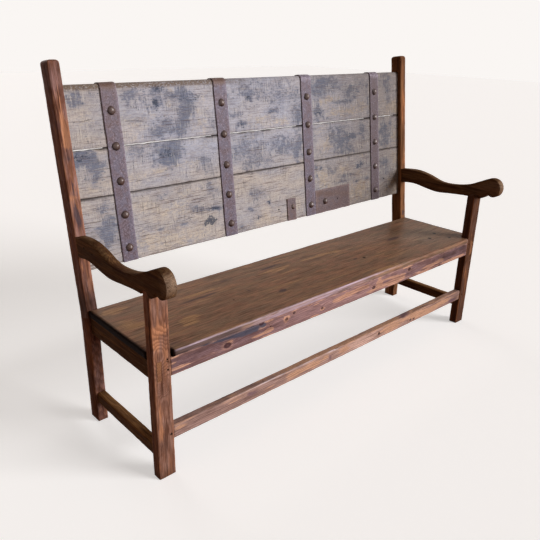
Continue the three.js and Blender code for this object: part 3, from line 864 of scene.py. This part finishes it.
def plank(name, bottom, top, stains, moulds, warms, cracks, finish, tight=()):
    """Old door plank with an uneven face and chipped long edges, closed to the next where it is tight."""
    shape = board(bottom, top)
    for layer in ("crack", "edge"):
        shape.verts.layers.float.new(layer)
    for line in cracks:
        crack(shape, line)
    for layer, patches in (("stain", stains), ("mould", moulds), ("warm", warms)):
        brushed(shape, layer, patches, ragged=0.8)
    edges, split = (shape.verts.layers.float[layer] for layer in ("edge", "crack"))
    for vert in shape.verts:
        x, t, s = vert.co
        for along, wide, deep in tight:
            shut = limited(1 + (wide - abs(x - along)) / GAP_FADE)
            if shut and s > top - deep and t < RELIEF_DEPTH:
                vert[split] = max(vert[split], shut * 0.9)
                vert.co.z += shut * GAP_CLOSING
        broad = noise.noise(Vector((x * 0.006, 0, s * 0.02)))
        small = noise.noise(Vector((x * 0.03, 5, s * 0.14)))
        front = limited((RELIEF_DEPTH - t) / RELIEF_FADE)
        vert.co.y += front * (0.45 * broad + 0.35 * small + 0.5)
        for end, inwards in ((bottom, 1), (top, -1)):
            reach = OUTER_CHIPS.get(end, 1)
            close = max(0, 1 - abs(s - end) / CHIP_REACH)
            ragged, chip = chipping(x, t, end)
            vert.co.z += inwards * close * reach * (ragged * 0.4 + chip * 3)
            vert[edges] = max(vert[edges], close * close * min(1, 0.25 + chip * 3))
        if top == PANEL_TOP and s > top - BROWN_HEIGHT:
            brown = limited((BROWN_TO_X - x) / BROWN_FADE_X, LEAST_BROWN)
            vert[edges] = max(vert[edges], min(1, (s - top + BROWN_HEIGHT) / BROWN_FADE) * brown)
    turned(shape, BACK)
    finished(name + "_boards", shape, finish, name)


# Ironwork

# Cuts of a strap: in from its edges, along and across it, and through the back
RIM_CUT, STRAP_INNER_CUT = 1.2, 5
STRAP_PITCH, STRAP_CROSS_PITCH = 12, 9
STRAP_CUTS = (24, 32, 40)

# Up a strap: its fold over the top, which is brown on the first ones and carries a painted highlight on the
# others, and the weak rust that grows towards the top of the first one
FOLD_FROM, FOLD_LENGTH = 742, 12
BROWN_FOLD_STRAPS = 2
CREEP_FROM, CREEP_LENGTH, MOST_CREEP = 520, 400, 0.3

# Rust along the top of the latch plate: a point on its middle line, the line's slope, and its spread.
# Only the latch plate lies right of the first place.
RUST_FROM_X, RUST_X, RUST_S, RUST_SLOPE, RUST_SPREAD = 240, 251, 248, 0.15, 26

# Clavo: a ring under its head just inside the rim, the radius of its shank, and its peened end as
# (radius, how far behind the iron)
UNDER_RIM, SHANK = 0.6, 3
PEENED_END = ((6.5, 0), (5.6, 1.6), (3.2, 2.5), (0, 2.5))
DOME_STEPS, TURN_STEPS = 7, 28


def strap(number, finish):
    """Flat strap over the top of the back, drawn out by hammer so that its edges wander."""
    node = f"iron_strap_{number}"
    brown_fold = number <= BROWN_FOLD_STRAPS
    seed = Vector((number * 7.3, 0, 0))
    shape = copied(node)
    turned(shape, BACK.inverted())
    low, high = span(shape, X)
    middle = (low + high) / 2
    inner_left, inner_right = low + STRAP_INNER_CUT, high - STRAP_INNER_CUT
    inner = steps(inner_left, inner_right, STRAP_CROSS_PITCH)
    cut_across(shape, Z, steps(PANEL_BOTTOM, PANEL_TOP - TOP_FRONT_ROUND - 1, STRAP_PITCH))
    cut_across(shape, Y, STRAP_CUTS)
    cut_across(shape, X, [low + RIM_CUT, inner_left, *inner, inner_right, high - RIM_CUT])
    wear_and_highlight, rusty = (shape.verts.layers.float.new(layer) for layer in ("wear_and_highlight", "rusty"))
    shape.normal_update()
    moves = []
    for vert in shape.verts:
        x, t, s = vert.co
        fold = limited((s - FOLD_FROM) / FOLD_LENGTH)
        vert[rusty] = fold if brown_fold else 0
        if number == 1:
            vert[rusty] = max(fold, limited((s - CREEP_FROM) / CREEP_LENGTH, 0, MOST_CREEP))
        across = (x - middle) / (high - middle)
        left_right = noise.noise(seed + Vector((3 if across > 0 else 8, t * 0.02, s * 0.011)))
        move = Vector((left_right * 1.6 * abs(across) ** 3, 0, 0))
        move += vert.normal * 0.5 * noise.noise(vert.co * 0.045)
        if abs(across) > 0.99:
            move += vert.normal * -0.5
        # Wear along the edges, with a painted highlight on the right-hand edge, and a painted highlight on
        # the fold of the later straps
        painted_fold_highlight = 0 if brown_fold else 0.8 * fold
        vert[wear_and_highlight] = max(0, abs(across) - 0.75) * 4 * max(0.2, across) + painted_fold_highlight
        moves.append(move)
    for vert, move in zip(shape.verts, moves):
        vert.co += move
    turned(shape, BACK)
    finished(node + "_forged", shape, finish, node)


def plate(node, finish, pitch=9):
    """Plate nailed on the front: hammered flat, its edges a little out of true."""
    shape = copied(node)
    turned(shape, BACK.inverted())
    (left, right), (bottom, top) = span(shape, X), span(shape, Z)
    cut_across(shape, X, [left + RIM_CUT, *steps(left, right, pitch), right - RIM_CUT])
    cut_across(shape, Z, [bottom + RIM_CUT, *steps(bottom, top, pitch), top - RIM_CUT])
    wear_and_highlight, rusty = (shape.verts.layers.float.new(layer) for layer in ("wear_and_highlight", "rusty"))
    for vert in shape.verts:
        x, t, s = vert.co
        from_rust = abs(s - RUST_S + (x - RUST_X) * RUST_SLOPE)
        vert[rusty] = max(0, 0.7 - from_rust / RUST_SPREAD) if x > RUST_FROM_X else 0
        along = abs(x - (left + right) / 2) * 2 / (right - left)
        up = abs(s - (top + bottom) / 2) * 2 / (top - bottom)
        rim = max(along, up)
        vert[wear_and_highlight] = max(0, rim - 0.9) * 8
        vert.co.x += 1.2 * noise.noise(Vector((left, 0, s * 0.03))) * rim ** 6
        vert.co.z += 1.4 * noise.noise(Vector((x * 0.02, 4, right))) * rim ** 6
        vert.co.y += 0.35 * noise.noise(Vector((x * 0.03, 0, s * 0.03)))
    turned(shape, BACK)
    finished(node + "_forged", shape, finish, node)


def clavo(place, head, base, rear, seed):
    """Rivet with a domed, hammered head in front and a small peened end behind.

    Its place is (along, up) and its head (radius, height). Square through the back, the head's
    underside is at base and the peened end starts at rear."""
    (x, s), (radius, height) = place, head
    dome = (radius * radius + height * height) / (2 * height)
    sweep = math.asin(min(1, radius / dome))
    angles = [sweep * i / DOME_STEPS for i in range(DOME_STEPS + 1)]
    profile = [(dome * math.sin(angle), base - height + dome * (1 - math.cos(angle))) for angle in angles]
    profile += [(radius - UNDER_RIM, base), (SHANK, base), (SHANK, rear)]
    profile += [(r, rear + past) for r, past in PEENED_END]
    shape = bmesh.new()
    verts = [shape.verts.new((x + r, t, s)) for r, t in profile]
    edges = [shape.edges.new(pair) for pair in zip(verts, verts[1:])]
    bmesh.ops.spin(
        shape, geom=[*verts, *edges], cent=(x, 0, s), axis=(0, 1, 0), angle=2 * math.pi,
        steps=TURN_STEPS, use_merge=True)
    bmesh.ops.remove_doubles(shape, verts=shape.verts, dist=0.01)
    bmesh.ops.recalc_face_normals(shape, faces=shape.faces)
    wear_and_highlight = shape.verts.layers.float.new("wear_and_highlight")
    for vert in shape.verts:
        if vert.co.y < base + CLOSE:
            away = Vector((vert.co.x - x, vert.co.y - base, vert.co.z - s))
            dent = noise.noise(away * 0.11 + Vector((seed * 3.7, 0, 0)))
            vert.co += away * dent * 0.09
            vert.co.y = min(vert.co.y, base)
            vert[wear_and_highlight] = max(0, (base - vert.co.y) / height - 0.55)
    return shape


def broken_clavo(shape, x, s):
    """Snap most of the head off a small rivet, leaving a torn stub with one lip."""
    everything = [*shape.verts, *shape.edges, *shape.faces]
    snapped = bmesh.ops.bisect_plane(
        shape, geom=everything, plane_co=(x + 3, 10.6, s), plane_no=(0.55, -1, 0.2), clear_outer=True)
    rim = [item for item in snapped["geom_cut"] if isinstance(item, bmesh.types.BMEdge)]
    torn = shape.verts.layers.float["wear_and_highlight"]
    for edge in rim:
        for vert in edge.verts:
            vert[torn] = 1.5
    bmesh.ops.contextual_create(shape, geom=rim)
    return shape


# Pieces of timber. Patches are (across or along, up, half width, half height, strength).

def front_legs():
    left = pine(
        "pine_front_leg_left", "zxy", (-872, -140), 1.6, ring=3.2, ripple=0.7, sheen=0.003,
        stain=tone(131, 92, 75), bloom=tone(152, 116, 102), bare=tone(189, 132, 98), deep=tone(72, 44, 34),
        spots=((158, -864, 4), (435, -865, 3), (398, -865, 3)), swirls=((455, -882, 24), (350, -885, 10)))
    gold = (
        (-886, 540, 34, 18, 1.4), (-903, 500, 14, 18, 1.1), (-890, 615, 14, 40, 0.4),
        (-900, 270, 16, 70, 0.5), (-899, 170, 10, 38, 1.1), (-866, 60, 10, 60, 0.3),
        (-884, 462, 26, 34, 0.5),
    )
    slate = ((-858, 470, 9, 45, 0.6), (-880, 564, 30, 4, 0.6))
    dark = (
        (-880, 566, 34, 3.5, 0.5), (-886, 519, 26, 2.5, 0.4), (-898, 206, 16, 1.5, 0.5),
        (-895, 132, 12, 1.5, 0.5), (-893, 168, 2, 40, 0.5), (-857, 470, 3, 60, 0.4),
        (-904, 402, 2, 28, 0.7), (-889, 402, 2, 28, 0.7), (-896, 432, 9, 2, 0.5),
        (-886, 8, 40, 24, 0.4), (-886, 120, 40, 60, 0.12),
    )
    timber("front_leg_left", left, Z, pitch=10, fine=5, gold=gold, slate=slate, dark=dark)
    right = pine(
        "pine_front_leg_right", "zxy", (900, -110), 5.0, ripple=0.6,
        stain=tone(88, 60, 46), bloom=tone(102, 74, 62), bare=tone(160, 104, 66))
    gold = ((875, 260, 12, 90, 0.6), (880, 470, 12, 10, 0.8))
    dark = ((885, 60, 40, 80, 0.2),)
    timber("front_leg_right", right, Z, gold=gold, dark=dark)


def rear_posts():
    left = pine(
        "pine_rear_post_left", "zxy", (-930, 330), 9.0, lean=RAKE, ring=5.0,
        stain=tone(128, 86, 70), bloom=tone(150, 116, 110), bare=tone(194, 138, 104))
    gold = (
        (-898, 640, 16, 62, 1.2), (-905, 740, 9, 40, 0.7), (-900, 582, 14, 16, 1.0),
        (-900, 480, 14, 20, 0.6), (-884, 380, 5, 70, 0.6), (-914, 380, 4, 50, 0.5),
        (-912, 170, 5, 25, 0.8), (-900, 412, 14, 5, 0.8), (-900, -60, 14, 60, 0.3),
    )
    slate = ((-899, 345, 12, 60, 1.1), (-900, 450, 8, 30, 0.8), (-900, 535, 14, 24, 0.6))
    # The dark just above and below the seat is painted shade
    dark = (
        (-900, 36, 30, 76, 0.85), (-900, -300, 30, 180, 0.4), (-900, 540, 30, 24, 0.25),
        (-900, 820, 30, 24, 0.3),
    )
    rear_post("left", left, gold=gold, slate=slate, dark=dark)
    right = pine(
        "pine_rear_post_right", "zxy", (940, 330), 14.0, lean=RAKE, ring=5.0,
        stain=tone(132, 92, 64), bloom=tone(140, 102, 72))
    gold = ((900, 600, 14, 160, 0.7), (900, 320, 12, 25, 1.0))
    slate = ((900, 45, 12, 20, 1.0),)
    # The dark below the seat is painted shade
    dark = ((894, 440, 9, 120, 0.45), (900, -300, 30, 180, 0.2), (900, 830, 30, 24, 0.3))
    rear_post("right", right, gold=gold, slate=slate, dark=dark)


def arms_and_side_rails():
    """The pieces of the two ends. The left ones are in a darker copy of their pine, which is painted shade.
    """
    gold_line = ((-90, 420, 90, 9, 0.6),)
    tenon = ((-240, 400, 7, 60, 0.9),)
    shadow = ((180, 400, 20, 60, 0.4),)
    rubbed_edge = ((0, 125, 300, 7, 1.2),)
    arm_holes = ((157, 696.5, 3.4), (101, 691, 2.6), (182, 676, 1.8))
    for side, sign, wood, holes in (("left", -1, SHADE_PAINTED_PINE, arm_holes), ("right", 1, DARK_PINE, ())):
        arm_pine = pine(
            f"pine_arm_{side}", "yzx", (560, sign * 860), 20.0 + sign, spots=holes,
            pale=tone(170, 148, 128), **wood)
        arm(side, arm_pine)
        apron_pine = pine(
            f"pine_side_apron_{side}", "yzx", (420, sign * 960), 25.0 + sign,
            pale=tone(180, 124, 98), **wood)
        timber(f"side_apron_{side}", apron_pine, Y, gold=gold_line, pale=tenon, dark=shadow)
        rail_pine = pine(f"pine_side_stretcher_{side}", "yzx", (40, sign * 900), 30.0 + sign, **DARK_PINE)
        timber(f"side_stretcher_{side}", rail_pine, Y, gold=rubbed_edge)


def front_apron():
    apron = pine(
        "pine_front_apron", "xzy", (330, -160), 35.0, bold=0.15, crisp=0.9,
        stain=tone(124, 96, 96), bloom=tone(146, 118, 122), bare=tone(212, 164, 138),
        pale=tone(190, 152, 148), deep=tone(78, 52, 52), ink=tone(74, 79, 96),
        knots=(
            (-632, 400, 13), (-483, 433, 10), (-440, 408, 4), (-362, 411, 7), (-325, 425, 6),
            (-245, 433, 5), (-175, 397, 6), (135, 398, 9), (380, 418, 9), (620, 376, 7),
        ))
    gold = (
        (-825, 391, 44, 6, 1.3), (-850, 413, 18, 6, 1.0), (-840, 434, 20, 4, 1.2),
        (-690, 396, 50, 10, 0.5), (-620, 411, 15, 5, 1.4), (-445, 397, 22, 9, 1.4),
        (-495, 390, 50, 6, 1.1), (-460, 375, 50, 4, 1.0), (-480, 415, 20, 4, 1.2),
        (-445, 431, 30, 5, 1.0), (-362, 410, 22, 17, 1.0), (-320, 380, 50, 5, 0.6),
        (-215, 376, 28, 5, 1.5), (-210, 424, 24, 4, 0.8), (-172, 394, 20, 10, 0.8),
        (-92, 407, 26, 8, 1.3), (-30, 411, 60, 11, 1.2), (60, 416, 60, 10, 1.2), (120, 386, 34, 8, 1.1),
        (172, 400, 20, 14, 1.4), (170, 428, 16, 8, 0.8), (235, 413, 60, 5, 1.1), (230, 389, 70, 7, 1.1),
        (290, 398, 50, 9, 1.2), (330, 404, 26, 5, 1.2), (370, 433, 40, 7, 1.1), (280, 380, 60, 10, 0.9),
        (420, 385, 90, 14, 0.5), (560, 396, 80, 8, 1.1), (622, 405, 26, 6, 1.4), (520, 379, 70, 5, 1.0),
        (740, 381, 110, 8, 1.4),
    )
    slate = (
        (-535, 425, 56, 16, 1.6), (-620, 431, 76, 9, 1.4), (-720, 436, 60, 4, 1.0),
        (-470, 424, 12, 10, 0.8), (-840, 440, 10, 6, 0.8), (790, 424, 60, 9, 0.5),
        (-740, 376, 90, 5, 0.4),
    )
    # The pale across the middle is painted reflection
    pale = ((20, 405, 260, 60, 0.9), (-300, 405, 130, 40, 0.5))
    # The broad dark towards the right end is painted shade
    dark = (
        (680, 412, 180, 22, 0.5), (-700, 422, 160, 16, 0.3), (820, 425, 40, 14, 0.35),
        (-840, 400, 60, 30, 0.12),
    )
    timber("front_apron", apron, X, pitch=7, fine=4, gold=gold, slate=slate, pale=pale, dark=dark)


def front_stretcher():
    stretcher = pine(
        "pine_front_stretcher", "xzy", (110, -300), 40.0, ripple=0.6, bold=0.35, crisp=0.2,
        stain=tone(148, 120, 112), bloom=tone(170, 140, 132), bare=tone(210, 164, 134),
        pale=tone(214, 178, 164), deep=tone(96, 70, 62), ink=tone(114, 90, 98), rubbed=tone(226, 212, 216),
        knots=((208, 158, 7), (440, 150, 7), (466, 148, 7)))
    # The long thin patch at the top makes the top face golden and lighter: partly its own colour, partly
    # painted light
    gold = (
        (-830, 166, 30, 12, 1.0), (-600, 168, 40, 6, 0.7), (-440, 150, 40, 9, 0.7),
        (-310, 158, 50, 16, 1.1), (-200, 160, 60, 16, 1.2), (-130, 164, 16, 8, 1.0),
        (-20, 160, 40, 20, 1.0), (290, 162, 80, 20, 1.3), (430, 168, 70, 10, 1.2),
        (500, 160, 60, 16, 1.1), (580, 150, 60, 14, 1.0), (690, 160, 90, 16, 1.3),
        (0, 184, 860, 3, 1.0),
    )
    slate = (
        (-520, 164, 44, 14, 0.75), (-600, 146, 90, 6, 0.6), (-105, 158, 16, 16, 0.8),
        (800, 146, 50, 12, 1.1), (-130, 140, 40, 5, 0.4), (400, 182, 60, 5, 0.9),
        (560, 142, 40, 6, 0.4),
    )
    pale = ((100, 160, 120, 60, 1.0), (-20, 160, 500, 60, 0.5), (280, 170, 60, 20, 0.6))
    # The broad dark at the right end is painted shade; the narrow ones are dark marks
    dark = (
        (206, 158, 5, 9, 0.35), (420, 150, 3, 11, 0.35), (441, 152, 3, 12, 0.5),
        (468, 150, 4, 12, 0.35), (820, 150, 50, 20, 0.3),
    )
    # Painted highlight along the top front arris
    painted_glint = (
        (-570, 182, 80, 2, 0.3), (-410, 182, 90, 2, 1.1), (-230, 182, 60, 2, 0.8),
        (-85, 182, 40, 2.5, 1.2),
    )
    torn = ((378, 184, 24, 8, 4), (447, 184, 26, 8, 6), (-60, 184, 26, 6, 4), (620, 184, 40, 4, 3))
    timber(
        "front_stretcher", stretcher, X, pitch=8, fine=5, painted_glint=painted_glint, torn=torn,
        gold=gold, slate=slate, pale=pale, dark=dark)


def hidden_rails():
    """Rear apron and seat bearers, in plain dark pine."""
    for node, along, axes in (
        ("rear_apron", X, "xzy"), ("seat_bearer_left", Y, "yzx"), ("seat_bearer_right", Y, "yzx"),
    ):
        rail_pine = pine("pine_" + node, axes, (330, 260), 50.0 + len(node), **DARK_PINE)
        timber(node, rail_pine, along)


def seat_board():
    """Waxed seat. Its patches lie on its top, and its glints on the round front edge and the face below it: a
    painted highlight and a painted reflection.
    """
    seat_pine = pine(
        "seat_pine", "xyz", (-30, 330), 60.0, lines=0.35, bold=0.55, wax=0.2, crisp=0.6,
        stain=tone(134, 108, 88), bloom=tone(152, 113, 91), bare=tone(178, 138, 100),
        pale=tone(158, 146, 128), deep=tone(90, 64, 50), ink=tone(84, 70, 71),
        rubbed=tone(200, 178, 196), arris=tone(176, 150, 150),
        spots=((253, -83, 6.5), (712, -112, 8), (797, -83, 8), (800, -166, 7), (-468, -66, 3)))
    gold = (
        (-850, 125, 60, 20, 1.2), (-600, 150, 90, 14, 1.0), (-530, 56, 110, 10, 1.3),
        (-140, 54, 110, 11, 1.3), (-680, -85, 60, 20, 0.9), (-690, -120, 50, 22, 0.8),
        (120, 60, 120, 10, 1.1), (210, 50, 50, 8, 1.2), (-860, 20, 50, 60, 0.6),
        (-400, 120, 80, 14, 0.7), (-60, 130, 120, 14, 0.7), (-120, 10, 160, 10, 0.6),
        (60, 4, 90, 8, 0.8), (400, -130, 170, 30, 0.6), (240, -222, 110, 12, 1.0),
        (-20, -226, 120, 8, 0.9), (560, -90, 70, 8, 0.8), (620, 60, 60, 10, 0.5),
        (890, -30, 14, 14, 1.2), (320, 100, 80, 8, 0.7), (-430, 10, 60, 7, 0.5),
        (-300, -140, 120, 6, 0.6), (500, -160, 110, 7, 0.6), (-820, -20, 50, 16, 0.6),
    )
    slate = (
        (-555, 28, 150, 12, 0.8), (-375, 100, 60, 12, 0.9), (-150, 95, 80, 14, 0.9),
        (-190, -110, 20, 10, 1.4), (-270, -118, 24, 14, 1.2), (-375, -30, 10, 20, 1.0),
        (560, -2, 44, 10, 1.0), (210, -66, 12, 8, 1.3), (630, 0, 110, 40, 0.4), (210, -160, 24, 9, 1.0),
        (-60, 45, 60, 6, 0.7), (270, 38, 60, 7, 0.8), (-420, -145, 60, 6, 0.7),
        (700, -120, 50, 24, 0.6), (20, 20, 40, 5, 0.6), (-820, -200, 60, 16, 0.7),
        (620, -140, 40, 26, 0.5), (90, -110, 50, 10, 0.5), (-780, -238, 90, 4, 1.1),
        (-620, -238, 90, 4, 0.9),
    )
    # The pale towards the right end is painted sheen
    pale = ((760, -50, 150, 90, 0.7), (500, 60, 120, 40, 0.3), (-450, -180, 200, 20, 0.2))
    # Painted shadow on the near-black ends and in the notch beside the left leg, painted shade at the front
    # towards the right end
    dark = (
        (-916, -20, 5, 900, 1.3), (916, -20, 5, 900, 1.1), (-845, -234, 10, 14, 1.5),
        (860, -236, 70, 5, 0.35), (-820, -238, 40, 4, 0.2),
    )
    # Painted highlight along the round front edge, and painted reflection on the front face below it
    painted_glint = (
        (-380, 454, 360, 2.6, 0.6), (-20, 454, 150, 2.6, 0.6), (-760, 454, 80, 2.6, 0.6),
        (150, 454, 170, 2.6, 0.35), (-180, 442, 240, 9, 0.68), (-420, 444, 90, 9, 0.45),
    )
    timber(
        "seat_board", seat_pine, X, face=(X, Y), slot="seat_pine", painted_glint=painted_glint,
        gold=gold, slate=slate, pale=pale, dark=dark)


# Planks. Patches are (along, up, half width, half height, strength), cracks lines of (along, up).

def lower_plank(finish):
    stains = (
        (-790, 290, 38, 60, 1.0), (-800, 240, 30, 30, 0.6), (-540, 360, 34, 20, 0.4),
        (-410, 285, 28, 12, 0.9), (-320, 277, 48, 9, 1.2), (-575, 240, 18, 8, 0.9),
        (-480, 240, 22, 6, 0.9), (-330, 355, 30, 34, 0.6), (-110, 300, 34, 30, 0.6),
        (-140, 240, 16, 9, 0.9), (-100, 200, 16, 12, 0.8), (-195, 175, 14, 9, 0.8),
        (-30, 250, 14, 14, 0.8), (370, 340, 34, 20, 0.7), (470, 300, 62, 11, 0.9),
        (300, 360, 11, 11, 1.0), (266, 368, 9, 15, 1.1), (266, 325, 8, 10, 0.9), (440, 276, 60, 8, 0.9),
        (765, 330, 40, 34, 0.9), (780, 270, 60, 24, 0.6), (625, 268, 18, 7, 0.9),
        (640, 340, 20, 40, 0.4),
    )
    moulds = (
        (-350, 225, 38, 16, 1.0), (-322, 277, 36, 5, 0.7), (562, 340, 34, 14, 1.0),
        (300, 360, 8, 8, 0.6), (-100, 200, 12, 10, 0.5), (-30, 252, 9, 10, 0.6), (560, 266, 40, 6, 0.6),
    )
    warms = (
        (-500, 300, 90, 30, 0.8), (-620, 200, 120, 50, 0.7), (-450, 190, 120, 30, 0.7),
        (-640, 345, 50, 30, 0.5), (-440, 360, 60, 20, 0.7), (-150, 370, 60, 16, 0.4),
        (-60, 190, 90, 30, 0.7), (120, 200, 60, 40, 0.5), (310, 305, 60, 50, 1.0),
        (440, 335, 60, 20, 0.9), (565, 215, 80, 60, 1.0), (540, 300, 40, 16, 0.8),
        (840, 200, 60, 60, 1.0), (860, 340, 30, 50, 0.8), (590, 380, 50, 12, 0.6),
    )
    cracks = (
        ((-214, 275), (-190, 272), (-167, 271)), ((73, 247), (130, 254), (187, 263)),
        ((252, 262), (310, 273), (352, 276)), ((-640, 258), (-560, 254), (-500, 250), (-440, 258)),
        ((-360, 279), (-287, 274)), ((-60, 246), (20, 251)),
    )
    tight = ((0, PANEL_END, 2.5),)
    plank("back_plank_lower", PANEL_BOTTOM, LOWER_GAP[0], stains, moulds, warms, cracks, finish, tight)


def middle_plank(finish):
    stains = (
        (-842, 530, 42, 30, 1.2), (-800, 495, 40, 40, 1.0), (-640, 530, 30, 26, 0.6),
        (-530, 525, 50, 40, 1.1), (-480, 530, 40, 40, 1.1), (-520, 480, 40, 16, 0.8),
        (-370, 470, 26, 13, 0.8), (-340, 445, 30, 40, 0.4), (-110, 480, 110, 80, 0.55),
        (-60, 430, 60, 20, 0.5), (-170, 470, 30, 40, 0.3), (70, 480, 52, 42, 0.8),
        (160, 470, 36, 60, 0.9), (440, 480, 66, 50, 1.1), (500, 482, 36, 14, 0.8),
        (510, 420, 70, 20, 0.9), (600, 500, 34, 44, 0.8), (770, 480, 46, 70, 1.2),
        (260, 500, 14, 40, 0.5),
    )
    moulds = (
        (-845, 535, 30, 14, 0.5), (-515, 510, 40, 20, 0.5), (500, 482, 30, 8, 0.4),
        (860, 505, 20, 8, 0.4),
    )
    warms = (
        (-660, 440, 50, 24, 0.6), (-555, 455, 34, 13, 0.9), (-440, 466, 60, 14, 0.6),
        (-830, 430, 50, 24, 0.6), (110, 430, 24, 14, 0.8), (330, 460, 46, 36, 0.8),
        (300, 530, 80, 16, 0.5), (850, 460, 28, 60, 0.9), (620, 440, 40, 20, 0.5),
    )
    cracks = (((-660, 430), (-600, 433)), ((590, 452), (655, 456)), ((-20, 440), (60, 446)))
    plank("back_plank_middle", LOWER_GAP[1], UPPER_GAP[0], stains, moulds, warms, cracks, finish, GAP_ENDS)


def upper_plank(finish):
    stains = (
        (-840, 730, 50, 30, 0.9), (-800, 620, 60, 30, 0.2), (-645, 725, 44, 30, 0.8),
        (-535, 738, 30, 18, 1.2), (-545, 690, 36, 20, 1.2), (-440, 722, 62, 24, 0.9),
        (-400, 690, 40, 24, 0.9), (-415, 652, 26, 26, 1.1), (-430, 618, 26, 26, 1.0),
        (-442, 585, 26, 22, 0.9), (-530, 605, 60, 36, 0.8), (-300, 600, 14, 40, 0.5),
        (-180, 632, 36, 11, 0.9), (-152, 588, 28, 18, 1.2), (-110, 690, 14, 16, 1.1),
        (-130, 715, 70, 34, 0.6), (20, 632, 34, 11, 0.8), (60, 700, 130, 50, 0.6),
        (165, 600, 30, 42, 1.0), (300, 702, 60, 36, 0.9), (345, 742, 70, 16, 0.8),
        (285, 612, 30, 40, 1.1), (462, 645, 54, 8, 1.1), (520, 685, 46, 26, 1.0),
        (430, 715, 60, 20, 0.6), (600, 720, 50, 30, 0.5), (360, 575, 34, 6, 0.8),
        (790, 720, 38, 40, 1.1), (800, 640, 22, 26, 0.6), (640, 650, 14, 60, 0.6),
    )
    moulds = (
        (-545, 692, 26, 16, 0.7), (-530, 742, 22, 12, 0.7), (-108, 692, 9, 12, 0.6),
        (-152, 588, 18, 12, 0.5), (290, 605, 20, 20, 0.5), (-400, 705, 50, 20, 0.3),
        (20, 632, 24, 8, 0.5),
    )
    warms = (
        (-820, 650, 50, 30, 0.6), (-480, 742, 20, 14, 0.9), (-485, 690, 18, 20, 0.7),
        (-560, 650, 40, 14, 0.6), (-640, 610, 50, 40, 0.5), (-350, 620, 40, 50, 0.5),
        (-330, 700, 30, 20, 0.5), (-60, 600, 50, 22, 0.9), (70, 582, 60, 14, 0.9),
        (375, 655, 56, 18, 1.0), (480, 600, 140, 24, 0.9), (590, 640, 40, 30, 0.6),
        (830, 610, 60, 40, 0.9), (870, 590, 24, 20, 0.8),
    )
    cracks = (
        ((800, 676), (850, 678), (885, 679)), ((-885, 652), (-830, 650), (-790, 655)),
        ((-670, 640), (-600, 636)),
    )
    plank("back_plank_upper", UPPER_GAP[1], PANEL_TOP, stains, moulds, warms, cracks, finish)


# Iron. Clavos have (along, up) for a place and (radius, height) for a head.

STRAP_FACE, STRAP_REAR = 13.4, 58.6
PLATE_FACE, BOARD_REAR = 14.4, 54.3
CLAVO_HEAD, PLATE_CLAVO_HEAD, STUB_HEAD = (15, 11), (15, 10), (12, 6)
PLATE_CLAVO, STUB_CLAVO = (313, 202), (104, 211)


def rivet(node, shape, finish):
    turned(shape, BACK)
    finished(node + "_forged", shape, finish, node)


def straps_and_clavos(clavo_iron):
    strap_iron = wrought("strap_iron", tone(99, 92, 107), tone(97, 78, 83), tone(154, 145, 160))
    for number, x in enumerate(STRAPS, 1):
        strap(number, strap_iron)
        for count, s in enumerate(CLAVO_HEIGHTS, 1):
            shape = clavo((x, s), CLAVO_HEAD, STRAP_FACE, STRAP_REAR, number * 5 + count)
            rivet(f"clavo_{number}_{count}", shape, clavo_iron)


def plates(clavo_iron):
    """Latch plate and small strap, each with its rivet."""
    plate_iron = wrought("plate_iron", tone(98, 86, 92), tone(100, 78, 76), tone(146, 126, 122))
    plate("latch_plate", plate_iron)
    plate("small_strap", plate_iron)
    whole = clavo(PLATE_CLAVO, PLATE_CLAVO_HEAD, PLATE_FACE, BOARD_REAR, 40)
    rivet("latch_plate_clavo", whole, clavo_iron)
    snapped = broken_clavo(clavo(STUB_CLAVO, STUB_HEAD, STRAP_FACE, BOARD_REAR, 41), *STUB_CLAVO)
    rivet("small_strap_clavo", snapped, clavo_iron)


def nails():
    """The CAD's own nail heads, in dark iron."""
    nail_iron = wrought("nail_iron", tone(44, 36, 34), tone(60, 42, 34), tone(70, 60, 58))
    for name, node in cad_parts.items():
        if "nail" in name:
            node.data.materials.clear()
            node.data.materials.append(nail_iron)


scene.view_settings.view_transform = "Standard"
place_camera()
light_room()
lay_floor()

front_legs()
rear_posts()
arms_and_side_rails()
front_apron()
front_stretcher()
hidden_rails()
seat_board()

boards = weathered("weathered_boards")
lower_plank(boards)
middle_plank(boards)
upper_plank(boards)

clavo_iron = wrought(
    "clavo_iron", tone(64, 42, 34), tone(56, 34, 26), tone(112, 84, 76), dimple=5.4, polish=0.75, rough=0.22)
straps_and_clavos(clavo_iron)
plates(clavo_iron)
nails()
